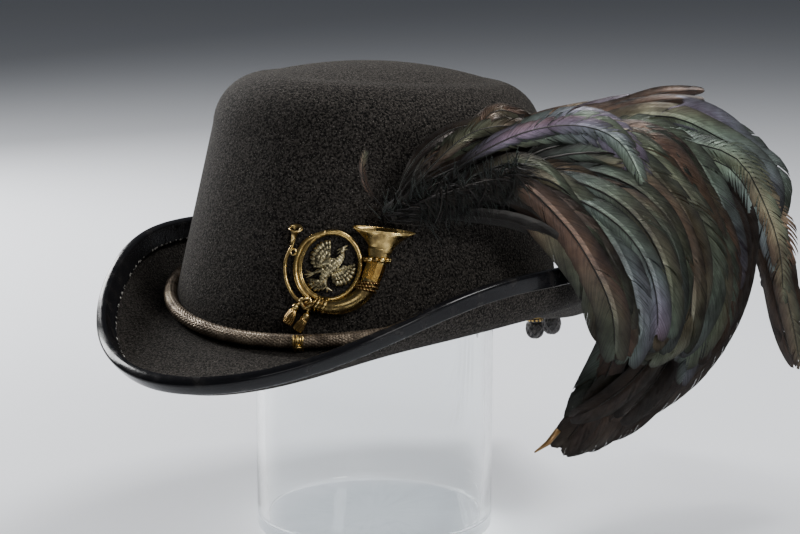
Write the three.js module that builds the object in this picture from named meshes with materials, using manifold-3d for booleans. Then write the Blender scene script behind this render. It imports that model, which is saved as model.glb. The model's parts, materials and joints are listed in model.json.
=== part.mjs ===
// Officer's felt parade hat with a horn badge, a hat cord and a cock-feather plume, on a glass cylinder.
// Millimetres, Z up. The origin is the centre of the glass cylinder's underside.
// The hat has its own group: its front is -Y, the wearer's left is +X, and its zero height is
// where the crown's wall meets the brim at the two sides.
import * as THREE from 'three';
import { mergeVertices } from 'three/addons/utils/BufferGeometryUtils.js';
import Module from 'manifold-3d';

const wasm = await Module();
wasm.setup();

// Clearance between pieces that touch
const GAP = 0.3;

// Felt hood
const FELT = 2.4;
const HEAD_LENGTH = 202;
const HEAD_WIDTH = 166;
const CROWN_HEIGHT = 99;
const CROWN_DOME = 6.8;
const SHOULDER_RADIUS = 24.7;
const SHOULDER_SHARE_LONG = 0.836;
const SHOULDER_SHARE_WIDE = 0.873;
const FOOT_ROUNDING = 3;
const FOOT_DIP = 15.2;
const BRIM_FRONT = 55.7;
const BRIM_BACK = 58.9;
const BRIM_SIDE = 16.6;
const BRIM_SQUARENESS = 1.905;
const SIDE_ROLL = 42;

// Slope of the brim where it leaves the crown, and where it ends at front and back and at the sides
const BRIM_START_ANGLE = -5.2;
const CURL_ANGLE_FRONT = 43.9;
const CURL_ANGLE_SIDE = 98.9;
const START_PULL = 0.545;
const CURL_PULL = 0.394;

// Waves round the hat: the height of the brim's edge as shares of SIDE_ROLL,
// and the dip of the crown's foot as shares of FOOT_DIP
const EDGE_WAVES = [
  { wave: 0, share: 0.11 },
  { wave: 1, share: 0.014 },
  { wave: 2, share: -0.512 },
  { wave: 3, share: 0.014 },
  { wave: 4, share: -0.124 },
];
const FOOT_WAVES = [
  { wave: 1, share: -0.158 },
  { wave: 2, share: -0.411 },
  { wave: 3, share: -0.02 },
  { wave: 4, share: -0.017 },
];

// Leather binding of the brim's edge
const LEATHER = 1;
const BINDING_UPPER = 8.5;
const BINDING_UNDER = 6;

// Hat cord with its slide, its two ends and their acorns
const CORD_DIAMETER = 5.8;
const CORD_LIFT = 1.6;
const CORD_END_DIAMETER = 3;
const END_CLEAR = 1.2;
const END_CLIMB = 18;
const END_SPRING = 2.4;
const SLIDE_LENGTH = 8;
const SLIDE_WIDTH = 11;
const SLIDE_HEIGHT = 6;
const ACORN_DIAMETER = 10.4;
const ACORN_HEIGHT = 14;
const TIE_LENGTH = 6.5;
const TIE_THICKNESS = 1.4;
const TIE_ANGLE = 16;
const TIE_LOW_END = -70;
const TIE_HIGH_END = 45;

// Horn badge: its drawing has its origin at the middle of the coil
const BADGE_ANGLE = 25.3;
const BADGE_HEIGHT = 22.4;
const COIL_OPENING = 13.2;
const COIL_TUBE = 1.25;
const BADGE_BREADTH = 0.88;
const EAGLE_THICKNESS = 1.5;

// Plume and its sleeve: the plume's drawing has its origin at its root, on the crown above the badge
const PLUME_ANGLE = 38.9;
const PLUME_HEIGHT = 43;
const PLUME_STAND_OFF = 5.4;
const PLUME_HEADING = 30;
const PLUME_SPREAD_HEADING = 32;
const PLUME_REACH = 227;
const QUILL_RADIUS = 2.6;
const QUILL_RISE = 35;
const QUILL_PAST_SLEEVE = 5;
const SLEEVE_START = 2.4;
const SLEEVE_LENGTH = 9;
const SLEEVE_WALL = 1;

// Glass cylinder
const STAND_RADIUS = 56;
const STAND_WALL = 4;
const STAND_BASE = 5;
const STAND_HEIGHT = 206.8;

// How the hat sits on the glass
const TILT_BACK = 4;
const TILT_SIDE = 1.2;
const HAT_SHIFT_X = -1.5;
const HAT_SHIFT_Y = -0.5;

// Fineness of the faceted solids
const TURNS = 44;
const CORD_SIDES = 8;
const END_STEPS = 12;
const GLASS_SIDES = 48;

const radians = THREE.MathUtils.degToRad;
const lerp = THREE.MathUtils.lerp;

// Closed solid from points and triangles, with its faces pointing out
function solidFrom(points, faces) {
  const cross = new THREE.Vector3();
  let volume = 0;
  for (const [a, b, c] of faces) {
    volume += points[a].dot(cross.crossVectors(points[b], points[c]));
  }
  const outward = volume > 0 ? faces : faces.map(([a, b, c]) => [a, c, b]);
  const geometry = new THREE.BufferGeometry().setFromPoints(points);
  geometry.setIndex(outward.flat());
  geometry.computeVertexNormals();
  return geometry;
}

// Skin over a row of closed rings. The ends close on a tip each, or the last ring joins the first.
function skinOver(rings, tips) {
  const count = rings[0].length;
  const points = rings.flat();
  const faces = [];
  const joints = tips ? rings.length - 1 : rings.length;
  for (let i = 0; i < joints; i++) {
    const here = i * count;
    const next = ((i + 1) % rings.length) * count;
    for (let k = 0; k < count; k++) {
      const turn = (k + 1) % count;
      faces.push([here + k, here + turn, next + turn]);
      faces.push([here + k, next + turn, next + k]);
    }
  }
  if (tips) {
    const last = (rings.length - 1) * count;
    points.push(tips[0], tips[1]);
    for (let k = 0; k < count; k++) {
      const turn = (k + 1) % count;
      faces.push([rings.length * count, turn, k]);
      faces.push([rings.length * count + 1, last + k, last + turn]);
    }
  }
  return solidFrom(points, faces);
}

function toManifold(geometry) {
  const bare = geometry.clone();
  bare.deleteAttribute('normal');
  bare.deleteAttribute('uv');
  const merged = mergeVertices(bare, 1e-4);
  return new wasm.Manifold(new wasm.Mesh({
    numProp: 3,
    vertProperties: new Float32Array(merged.getAttribute('position').array),
    triVerts: new Uint32Array(merged.getIndex().array),
  }));
}

// Several closed shapes fused into one, with some cut away
function fuse(shapes, cuts = []) {
  let whole = toManifold(shapes[0]);
  for (const shape of shapes.slice(1)) whole = whole.add(toManifold(shape));
  for (const cut of cuts) whole = whole.subtract(toManifold(cut));
  const mesh = whole.getMesh();
  const points = [];
  for (let i = 0; i < mesh.numVert; i++) {
    points.push(new THREE.Vector3().fromArray(mesh.vertProperties, i * mesh.numProp));
  }
  const faces = [];
  for (let i = 0; i < mesh.triVerts.length; i += 3) faces.push([...mesh.triVerts.slice(i, i + 3)]);
  return solidFrom(points, faces);
}

// Every point of a shape moved by a rule
function reshape(geometry, rule) {
  const merged = mergeVertices(geometry.clone().deleteAttribute('normal').deleteAttribute('uv'), 1e-4);
  const position = merged.getAttribute('position');
  const points = [];
  for (let i = 0; i < position.count; i++) {
    points.push(rule(new THREE.Vector3().fromBufferAttribute(position, i)));
  }
  const index = [...merged.getIndex().array];
  const faces = [];
  for (let i = 0; i < index.length; i += 3) faces.push(index.slice(i, i + 3));
  return solidFrom(points, faces);
}

// Limb of a flat drawing. Each row gives a point x, y of its middle line, that line's lift off the
// drawing, and the limb's half width and half thickness (deep) there.
function limb(rows, steps, sides, place = (x, y, lift) => new THREE.Vector3(x, y, lift)) {
  const middle = new THREE.CatmullRomCurve3(rows.map((row) => new THREE.Vector3(row.x, row.y, row.lift)));
  const size = new THREE.CatmullRomCurve3(rows.map((row) => new THREE.Vector3(row.half, row.deep, 0)));
  const rings = [];
  for (let i = 0; i <= steps; i++) {
    const at = middle.getPoint(i / steps);
    const way = middle.getTangent(i / steps);
    const { x: half, y: deep } = size.getPoint(i / steps);
    const flat = Math.hypot(way.x, way.y);
    const ring = [];
    for (let k = 0; k < sides; k++) {
      const turn = (2 * Math.PI * (k + 0.5)) / sides;
      const across = half * Math.cos(turn);
      const rise = deep * Math.sin(turn);
      ring.push(place(at.x - (across * way.y) / flat, at.y + (across * way.x) / flat, at.z + rise));
    }
    rings.push(ring);
  }
  const ends = [middle.getPoint(0), middle.getPoint(1)];
  return skinOver(rings, ends.map((end) => place(end.x, end.y, end.z)));
}

// Plan and height functions of the hood, for an angle t that runs from the front to the wearer's left
const wallTop = CROWN_HEIGHT - SHOULDER_RADIUS;

function ovalRadius(wide, long, t, power = 2) {
  const across = Math.abs(Math.sin(t) / wide) ** power;
  const along = Math.abs(Math.cos(t) / long) ** power;
  return (across + along) ** (-1 / power);
}

// Half width and half length of the crown's wall at a height, and how fast they shrink
function crownAt(z) {
  const share = Math.max(z, 0) / wallTop;
  const wideLoss = (HEAD_WIDTH / 2) * (1 - SHOULDER_SHARE_WIDE);
  const longLoss = (HEAD_LENGTH / 2) * (1 - SHOULDER_SHARE_LONG);
  return {
    wide: HEAD_WIDTH / 2 - wideLoss * share,
    long: HEAD_LENGTH / 2 - longLoss * share,
    wideSlope: -wideLoss / wallTop,
    longSlope: -longLoss / wallTop,
  };
}

function footHeight(t) {
  let share = 0;
  for (const row of FOOT_WAVES) {
    share += row.share * (Math.cos(row.wave * t) - Math.cos((row.wave * Math.PI) / 2));
  }
  return FOOT_DIP * share;
}

function footRadius(t) {
  return ovalRadius(HEAD_WIDTH / 2, HEAD_LENGTH / 2, t);
}

function edgeHeight(t) {
  let share = 0;
  for (const row of EDGE_WAVES) share += row.share * Math.cos(row.wave * t);
  return SIDE_ROLL * share;
}

function edgeRadius(t) {
  const reach = Math.cos(t) > 0 ? BRIM_FRONT : BRIM_BACK;
  return ovalRadius(HEAD_WIDTH / 2 + BRIM_SIDE, HEAD_LENGTH / 2 + reach, t, BRIM_SQUARENESS);
}

// Upper face of the brim in the upright plane at angle t, from the crown's foot to the edge
function brimCurve(t) {
  const foot = new THREE.Vector2(footRadius(t), footHeight(t));
  const edge = new THREE.Vector2(edgeRadius(t), edgeHeight(t));
  const span = foot.distanceTo(edge);
  const start = radians(BRIM_START_ANGLE);
  const curl = radians(lerp(CURL_ANGLE_FRONT, CURL_ANGLE_SIDE, Math.sin(t) ** 2));
  const leave = new THREE.Vector2(Math.cos(start), Math.sin(start)).multiplyScalar(START_PULL * span);
  const arrive = new THREE.Vector2(Math.cos(curl), Math.sin(curl)).multiplyScalar(CURL_PULL * span);
  return new THREE.CubicBezierCurve(foot, foot.clone().add(leave), edge.clone().sub(arrive), edge);
}

// Point of the brim's upper face at a distance inward from its edge, with the way out and the way down
function nearEdge(curve, inward) {
  const share = 1 - inward / curve.getLength();
  const out = curve.getTangentAt(share);
  return { point: curve.getPointAt(share), out, down: new THREE.Vector2(out.y, -out.x) };
}

const aroundHat = (t, flat) => new THREE.Vector3(flat.x * Math.sin(t), -flat.x * Math.cos(t), flat.y);

function ringsAround(lineAt) {
  const lines = [];
  for (let i = 0; i < TURNS; i++) {
    const t = (2 * Math.PI * i) / TURNS;
    lines.push(lineAt(t).map((flat) => aroundHat(t, flat)));
  }
  return lines[0].map((first, row) => lines.map((line) => line[row]));
}

// Outer line of the hood at angle t, from near the middle of the top down to the brim's edge:
// points of the felt's outer face, each with the way through the felt to its other face
function hoodLine(t) {
  const line = [];
  const add = (radius, height, turn) => line.push({
    point: new THREE.Vector2(radius, height),
    down: new THREE.Vector2(-Math.cos(turn), -Math.sin(turn)),
  });
  const top = crownAt(wallTop);
  const shoulder = (turn) => {
    const loss = SHOULDER_RADIUS * (1 - Math.cos(turn));
    return ovalRadius(top.wide - loss, top.long - loss, t);
  };
  for (const share of [0.5, 1]) {
    const upright = Math.PI / 2;
    add(share * shoulder(upright), CROWN_HEIGHT + CROWN_DOME * (1 - share * share), upright);
  }
  for (const turn of [66, 42, 20, 0].map(radians)) {
    add(shoulder(turn), wallTop + SHOULDER_RADIUS * Math.sin(turn), turn);
  }
  const foot = footHeight(t);
  for (const share of [0.45, 0.85, 1]) {
    const height = lerp(wallTop, foot + FOOT_ROUNDING, share);
    const wall = crownAt(height);
    add(ovalRadius(wall.wide, wall.long, t), height, 0);
  }
  const half = radians(45);
  const inset = FOOT_ROUNDING * (1 - Math.cos(half));
  add(footRadius(t) + inset, foot + inset, half);
  const brim = brimCurve(t);
  const plain = brim.getLength() - FOOT_ROUNDING - BINDING_UPPER;
  for (const share of [1, 0.8, 0.6, 0.4, 0.2]) line.push(nearEdge(brim, BINDING_UPPER + share * plain));
  for (const inward of [BINDING_UPPER, BINDING_UNDER, 0]) line.push(nearEdge(brim, inward));
  return line;
}

function feltBody() {
  const rings = ringsAround((t) => {
    const line = hoodLine(t);
    const under = line.map(({ point, down }) => point.clone().addScaledVector(down, FELT));
    return [...line.map(({ point }) => point), ...under.reverse()];
  });
  const crest = CROWN_HEIGHT + CROWN_DOME;
  return skinOver(rings, [new THREE.Vector3(0, 0, crest), new THREE.Vector3(0, 0, crest - FELT)]);
}

// Leather strip folded over the brim's edge, seen in section: a point lies inward from the edge,
// below the felt's upper face and out past the edge
function bindingSection(t) {
  const brim = brimCurve(t);
  const at = (inward, below, past) => {
    const { point, out, down } = nearEdge(brim, inward);
    return point.clone().addScaledVector(down, below).addScaledVector(out, past);
  };
  const over = -GAP;
  const under = FELT + GAP;
  return [
    at(BINDING_UPPER, over, 0),
    at(BINDING_UNDER, over, 0),
    at(0, over, GAP),
    at(0, under, GAP),
    at(BINDING_UNDER, under, 0),
    at(BINDING_UNDER, under + LEATHER, 0),
    at(0, under + LEATHER, GAP),
    at(0, FELT / 2, GAP + LEATHER),
    at(0, over - LEATHER, GAP),
    at(BINDING_UNDER, over - LEATHER, 0),
    at(BINDING_UPPER, over - LEATHER, 0),
  ];
}

// Middle of the hat cord: against the wall, just above the brim
const cordRadius = CORD_DIAMETER / 2;
const cordMiddle = (t) =>
  new THREE.Vector2(footRadius(t) + GAP + cordRadius, footHeight(t) + CORD_LIFT + cordRadius);

function cordSection(t) {
  const ring = [];
  for (let k = 0; k < CORD_SIDES; k++) {
    const turn = (2 * Math.PI * k) / CORD_SIDES;
    const spoke = new THREE.Vector2(Math.cos(turn), Math.sin(turn)).multiplyScalar(cordRadius);
    ring.push(cordMiddle(t).add(spoke));
  }
  return ring;
}

// Point on the crown's wall near a spot that is given by its angle and height:
// a distance along the wall, a distance up it and a distance away from it
function onCrown(angle, height, along, up, away) {
  const middle = crownAt(height);
  const pace = (p) => Math.hypot(middle.wide * Math.cos(p), middle.long * Math.sin(p));
  const start = radians(angle);
  const p = start + along / pace(start + along / pace(start) / 2);
  const z = height + up / Math.hypot(1, middle.longSlope);
  const wall = crownAt(z);
  const east = Math.sin(p);
  const south = Math.cos(p);
  const slope = (east ** 2 * wall.wideSlope) / wall.wide + (south ** 2 * wall.longSlope) / wall.long;
  const rise = z > 0 ? -slope : 0;
  const normal = new THREE.Vector3(east / wall.wide, -south / wall.long, rise).normalize();
  return new THREE.Vector3(wall.wide * east, -wall.long * south, z).addScaledVector(normal, away);
}

// A flat shape of the badge's drawing at a size, made narrower and bent onto the crown
function onBadge(geometry, size) {
  return reshape(geometry, ({ x, y, z }) =>
    onCrown(BADGE_ANGLE, BADGE_HEIGHT, x * size * BADGE_BREADTH, y * size, z * size + GAP),
  );
}

// Horn of the badge, drawn in shares of its coil's radius. The rows of a tube run along its middle line.
const coilRadius = COIL_OPENING + COIL_TUBE;
const OUTER_COIL = { reach: 1.12, lift: 0.113, half: 0.075, deep: 0.09, from: 235, to: 100 };
const MOUTH_PIPE = [
  { x: -1.13, y: 1.03, lift: 0.172, half: 0.2, deep: 0.16 },
  { x: -1.2, y: 0.84, lift: 0.132, half: 0.086, deep: 0.086 },
  { x: -1.3, y: 0.55, lift: 0.132, half: 0.06, deep: 0.06 },
  { x: -1.44, y: 0.25, lift: 0.132, half: 0.06, deep: 0.06 },
  { x: -1.46, y: -0.22, lift: 0.132, half: 0.06, deep: 0.06 },
  { x: -1.29, y: -0.66, lift: 0.132, half: 0.06, deep: 0.06 },
  { x: -0.94, y: -1.04, lift: 0.146, half: 0.066, deep: 0.066 },
  { x: -0.397, y: -1.25, lift: 0.159, half: 0.093, deep: 0.093 },
];
const BELL_TUBE = [
  { x: -0.397, y: -1.13, lift: 0.172, half: 0.146, deep: 0.146 },
  { x: 0, y: -1.21, lift: 0.225, half: 0.205, deep: 0.19 },
  { x: 0.4, y: -1.2, lift: 0.252, half: 0.235, deep: 0.22 },
  { x: 0.78, y: -1.07, lift: 0.262, half: 0.25, deep: 0.23 },
  { x: 1.08, y: -0.84, lift: 0.265, half: 0.265, deep: 0.235 },
  { x: 1.27, y: -0.52, lift: 0.265, half: 0.28, deep: 0.238 },
  { x: 1.4, y: -0.16, lift: 0.265, half: 0.295, deep: 0.238 },
  { x: 1.5, y: 0.2, lift: 0.272, half: 0.31, deep: 0.245 },
  { x: 1.56, y: 0.56, lift: 0.291, half: 0.41, deep: 0.265 },
  { x: 1.61, y: 0.84, lift: 0.331, half: 0.62, deep: 0.305 },
  { x: 1.66, y: 1.08, lift: 0.371, half: 0.95, deep: 0.344 },
];
const BELL_HOLLOW = [
  { x: 1.58, y: 0.7, lift: 0.331, half: 0.238, deep: 0.093 },
  { x: 1.63, y: 0.91, lift: 0.351, half: 0.623, deep: 0.225 },
  { x: 1.675, y: 1.15, lift: 0.391, half: 0.947, deep: 0.311 },
];

// Bands over the tubes: the middle of each, the way its tube runs there, its half span and its crest
const BANDS = [
  { x: 1.28, y: -0.48, way: 70, half: 0.335, crest: 0.54, thick: 0.046 },
  { x: 1.235, y: -0.58, way: 66, half: 0.33, crest: 0.54, thick: 0.046 },
  { x: 1.18, y: -0.68, way: 62, half: 0.325, crest: 0.54, thick: 0.046 },
  { x: -0.278, y: -1.16, way: -22, half: 0.23, crest: 0.385, thick: 0.053 },
  { x: -0.132, y: -1.18, way: -16, half: 0.24, crest: 0.415, thick: 0.053 },
  { x: 0.02, y: -1.2, way: -10, half: 0.25, crest: 0.445, thick: 0.053 },
];
const BEAD_BAND = { x: 1.51, y: 0.24, way: 82, half: 0.38, crest: 0.477, thick: 0.086, beads: 7 };
const BEAD_SWELL = 1.15;

const EYE_LOOP = { x: -1.27, y: 0.36, lift: 0.093, radius: 0.079, wire: 0.033 };
const KNOT = { x: -0.57, y: -1.139, lift: 0.225, radius: 0.146, long: 1.2, wide: 0.9 };

// Cast tassels: each string runs from the knot to a knob, and its body from the knob to its end.
// The body's form gives its half width at shares of its length.
const TASSELS = [
  { fromX: -0.596, fromY: -1.099, knobX: -0.967, knobY: -1.232, endX: -1.219, endY: -1.695 },
  { fromX: -0.464, fromY: -1.219, knobX: -0.636, knobY: -1.45, endX: -0.927, endY: -1.788 },
];
const TASSEL_FORM = [
  { share: 0, half: 0.073 },
  { share: 0.12, half: 0.126 },
  { share: 0.26, half: 0.079 },
  { share: 0.6, half: 0.126 },
  { share: 1, half: 0.159 },
];

const TASSEL_STRING = 0.066;
const TASSEL_LIFT = 0.165;

// Arch over a tube, across the way that the tube runs, clear of the felt at its two ends
const ARCH_START = 20;

function archRows({ x, y, way, half, crest, thick }, steps) {
  const rows = [];
  for (let i = 0; i <= steps; i++) {
    const swing = radians(lerp(ARCH_START, 180 - ARCH_START, i / steps));
    const across = -half * Math.cos(swing);
    rows.push({
      x: x - across * Math.sin(radians(way)),
      y: y + across * Math.cos(radians(way)),
      lift: thick + (crest - thick) * Math.sin(swing),
      half: thick,
      deep: thick,
    });
  }
  return rows;
}

function tasselShapes({ fromX, fromY, knobX, knobY, endX, endY }) {
  const string = [
    { x: fromX, y: fromY, lift: KNOT.lift, half: TASSEL_STRING, deep: TASSEL_STRING },
    { x: knobX, y: knobY, lift: TASSEL_LIFT, half: TASSEL_STRING, deep: TASSEL_STRING },
  ];
  const body = TASSEL_FORM.map(({ share, half }) => ({
    x: lerp(knobX, endX, share),
    y: lerp(knobY, endY, share),
    lift: TASSEL_LIFT,
    half,
    deep: half,
  }));
  return [limb(string, 1, 5), limb(body, 6, 6)];
}

function hornBadge() {
  const tube = COIL_TUBE / coilRadius;
  const coil = new THREE.TorusGeometry(1, tube, 6, 24).translate(0, 0, tube);
  const outerCoil = [];
  for (let i = 0; i <= 4; i++) {
    const turn = radians(lerp(OUTER_COIL.from, OUTER_COIL.to, i / 4));
    const x = OUTER_COIL.reach * Math.cos(turn);
    outerCoil.push({ ...OUTER_COIL, x, y: OUTER_COIL.reach * Math.sin(turn) });
  }
  const beads = archRows(BEAD_BAND, BEAD_BAND.beads - 1).map((row, i) => {
    const bead = new THREE.IcosahedronGeometry(BEAD_BAND.thick * BEAD_SWELL, 0).rotateZ(i);
    return bead.translate(row.x, row.y, row.lift);
  });
  const loop = new THREE.TorusGeometry(EYE_LOOP.radius, EYE_LOOP.wire, 5, 8);
  const knot = new THREE.SphereGeometry(KNOT.radius, 7, 5).scale(KNOT.long, KNOT.wide, 1);
  const shapes = [
    limb(BELL_TUBE, 14, 9),
    coil,
    limb(outerCoil, 7, 5),
    limb(MOUTH_PIPE, 12, 5),
    loop.translate(EYE_LOOP.x, EYE_LOOP.y, EYE_LOOP.lift),
    knot.translate(KNOT.x, KNOT.y, KNOT.lift),
    ...BANDS.map((band) => limb(archRows(band, 4), 4, 4)),
    ...beads,
    ...TASSELS.flatMap(tasselShapes),
  ];
  return onBadge(fuse(shapes, [limb(BELL_HOLLOW, 3, 9)]), coilRadius);
}

// Outline of the cast eagle inside the coil, in shares of the coil's opening, from the neck clockwise
const EAGLE_OUTLINE = [
  [0.16, 0.24], [0.24, 0.36], [0.2, 0.52], [0.34, 0.56], [0.42, 0.68], [0.54, 0.7], [0.5, 0.52],
  [0.46, 0.3], [0.34, 0.04], [0.46, 0.02], [0.66, 0.05], [0.93, 0.1], [0.93, -0.2], [0.84, -0.44],
  [0.7, -0.58], [0.52, -0.66], [0.34, -0.64], [0.12, -0.44], [0, -0.5], [-0.02, -0.7], [0.18, -0.84],
  [-0.02, -0.8], [-0.18, -0.82], [-0.12, -0.68], [-0.2, -0.54], [-0.26, -0.8], [-0.42, -0.84], [-0.6, -0.72],
  [-0.76, -0.54], [-0.5, -0.36], [-0.84, -0.4], [-0.88, -0.24], [-0.5, -0.16], [-0.36, 0.02], [-0.6, -0.02],
  [-0.76, 0.16], [-0.76, 0.42], [-0.62, 0.66], [-0.34, 0.84], [-0.14, 0.86], [-0.04, 0.42], [-0.2, 0.3],
];
const EAGLE_BODY = [
  { x: 0.48, y: 0.6, lift: 0.173, half: 0.079, deep: 0.071 },
  { x: 0.38, y: 0.36, lift: 0.189, half: 0.1, deep: 0.087 },
  { x: 0.16, y: 0.08, lift: 0.205, half: 0.2, deep: 0.134 },
  { x: -0.08, y: -0.22, lift: 0.2, half: 0.18, deep: 0.125 },
  { x: -0.24, y: -0.42, lift: 0.185, half: 0.12, deep: 0.1 },
  { x: -0.42, y: -0.66, lift: 0.165, half: 0.087, deep: 0.071 },
];

function badgeEagle() {
  const reach = COIL_OPENING - GAP;
  const outline = new THREE.Shape(EAGLE_OUTLINE.map(([x, y]) => new THREE.Vector2(x, y)));
  const plate = new THREE.ExtrudeGeometry(outline, { depth: EAGLE_THICKNESS / reach, bevelEnabled: false });
  return onBadge(fuse([plate, limb(EAGLE_BODY, 7, 6)]), reach);
}

// Point of the plume's drawing in the hat: out along its heading, up, and sideways out of the drawing
function inPlume(out, up, aside) {
  const heading = radians(PLUME_HEADING);
  const spread = radians(PLUME_SPREAD_HEADING);
  const way = new THREE.Vector3(Math.sin(heading), Math.cos(heading), 0);
  const side = new THREE.Vector3(Math.sin(spread), -Math.cos(spread), 0);
  const root = onCrown(PLUME_ANGLE, PLUME_HEIGHT, 0, 0, PLUME_STAND_OFF);
  return root.addScaledVector(way, out).addScaledVector(side, aside).add(new THREE.Vector3(0, 0, up));
}

const plumeShare = (out, up, aside) => inPlume(out * PLUME_REACH, up * PLUME_REACH, aside * PLUME_REACH);

// Locks of the plume in shares of PLUME_REACH. Where each leaves the stem, its two bends and its tip are
// given as out and up; near and far are how far aside it starts and ends, and half is its half width.
const LOCKS = [
  {
    from: [0.12, 0.12], bend: [0.3, 0.3], hang: [0.5, 0.27],
    tip: [0.72, 0.24], near: 0.05, far: -0.06, half: 0.035,
  },
  {
    from: [0.16, 0.11], bend: [0.48, 0.29], hang: [0.86, 0.27],
    tip: [0.93, 0], near: 0.05, far: -0.08, half: 0.055,
  },
  {
    from: [0.28, 0.14], bend: [0.7, 0.26], hang: [0.93, 0.05],
    tip: [0.96, -0.19], near: 0.05, far: -0.13, half: 0.05,
  },
  {
    from: [0.44, 0.13], bend: [0.84, 0.2], hang: [0.98, -0.08],
    tip: [1, -0.34], near: 0.03, far: -0.07, half: 0.03,
  },
  {
    from: [0.26, 0.1], bend: [0.62, 0.24], hang: [0.79, 0.02],
    tip: [0.81, -0.15], near: 0.06, far: 0.05, half: 0.06,
  },
  {
    from: [0.26, 0.09], bend: [0.6, 0.16], hang: [0.78, -0.06],
    tip: [0.62, -0.28], near: 0.08, far: 0.13, half: 0.06,
  },
  {
    from: [0.34, 0.11], bend: [0.7, 0.15], hang: [0.84, -0.12],
    tip: [0.69, -0.3], near: 0.06, far: 0.08, half: 0.055,
  },
  {
    from: [0.1, 0.04], bend: [0.32, 0.09], hang: [0.49, -0.1],
    tip: [0.53, -0.29], near: 0.07, far: 0.15, half: 0.055,
  },
  {
    from: [0.16, 0.06], bend: [0.42, 0.1], hang: [0.58, -0.1],
    tip: [0.56, -0.27], near: 0.07, far: 0.1, half: 0.05,
  },
  {
    from: [0.22, 0.08], bend: [0.52, 0.11], hang: [0.67, -0.08],
    tip: [0.62, -0.26], near: 0.07, far: 0.16, half: 0.055,
  },
  {
    from: [0.5, 0.1], bend: [0.88, 0.06], hang: [0.88, -0.26],
    tip: [0.5, -0.44], near: 0, far: -0.1, half: 0.05,
  },
  {
    from: [0.44, 0.09], bend: [0.6, -0.02], hang: [0.54, -0.26],
    tip: [0.37, -0.48], near: 0.04, far: -0.04, half: 0.05,
  },
  {
    from: [0.48, 0.1], bend: [0.76, 0], hang: [0.74, -0.3],
    tip: [0.44, -0.45], near: 0.03, far: 0.03, half: 0.055,
  },
  {
    from: [0.04, 0], bend: [0.14, 0.02], hang: [0.3, 0.06],
    tip: [0.41, -0.1], near: 0.06, far: 0.11, half: 0.045,
  },
  {
    from: [0.02, 0.02], bend: [0.06, 0.13], hang: [0.18, 0.2],
    tip: [0.34, 0.2], near: 0.05, far: 0.06, half: 0.035,
  },
  {
    from: [0.075, 0.05], bend: [0.01, 0.03], hang: [-0.055, 0.07],
    tip: [-0.045, 0.13], near: 0.015, far: 0.03, half: 0.008,
  },
];
const STEM = [
  { x: 0.055, y: 0.038, lift: 0.005, half: 0.012, deep: 0.012 },
  { x: 0.1, y: 0.06, lift: 0.04, half: 0.03, deep: 0.018 },
  { x: 0.2, y: 0.09, lift: 0.06, half: 0.04, deep: 0.024 },
  { x: 0.34, y: 0.12, lift: 0.06, half: 0.05, deep: 0.03 },
  { x: 0.54, y: 0.12, lift: 0.03, half: 0.045, deep: 0.03 },
];

// A lock swells from its quill, is fullest past its middle and ends in a blunt tip
const LOCK_FORM = [
  { along: 0, full: 0.35 },
  { along: 0.2, full: 0.7 },
  { along: 0.45, full: 1 },
  { along: 0.75, full: 0.95 },
  { along: 0.92, full: 0.6 },
  { along: 1, full: 0.18 },
];
const LOCK_FLATNESS = 0.6;

function lockShape(lock) {
  const corners = [lock.from, lock.bend, lock.hang, lock.tip].map(([out, up]) => new THREE.Vector2(out, up));
  const course = new THREE.CubicBezierCurve(...corners);
  const rows = LOCK_FORM.map(({ along, full }) => {
    const at = course.getPointAt(along);
    const half = lock.half * full;
    return { x: at.x, y: at.y, lift: lerp(lock.near, lock.far, along), half, deep: half * LOCK_FLATNESS };
  });
  return limb(rows, 6, 6, plumeShare);
}

// A shape made along +Y from zero, laid along the quill from the sleeve's lower end
function onQuill(geometry) {
  const rise = radians(QUILL_RISE);
  const pointAt = (distance) => inPlume(distance * Math.cos(rise), distance * Math.sin(rise), 0);
  const from = pointAt(SLEEVE_START);
  const way = pointAt(SLEEVE_START + SLEEVE_LENGTH).sub(from).normalize();
  const turn = new THREE.Quaternion().setFromUnitVectors(new THREE.Vector3(0, 1, 0), way);
  return geometry.applyQuaternion(turn).translate(from.x, from.y, from.z);
}

function plume() {
  const length = SLEEVE_LENGTH + QUILL_PAST_SLEEVE;
  const quill = new THREE.CylinderGeometry(QUILL_RADIUS, QUILL_RADIUS, length, 10);
  quill.translate(0, length / 2, 0);
  return fuse([onQuill(quill), limb(STEM, 6, 8, plumeShare), ...LOCKS.map(lockShape)]);
}

// Sleeve that holds the quill against the crown above the badge, open at both ends
function plumeSleeve() {
  const bore = QUILL_RADIUS + GAP;
  const profile = [
    new THREE.Vector2(bore, 0),
    new THREE.Vector2(bore + SLEEVE_WALL, 0),
    new THREE.Vector2(bore + SLEEVE_WALL, SLEEVE_LENGTH),
    new THREE.Vector2(bore, SLEEVE_LENGTH),
    new THREE.Vector2(bore, 0),
  ];
  return onQuill(new THREE.LatheGeometry(profile, 16));
}

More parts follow.
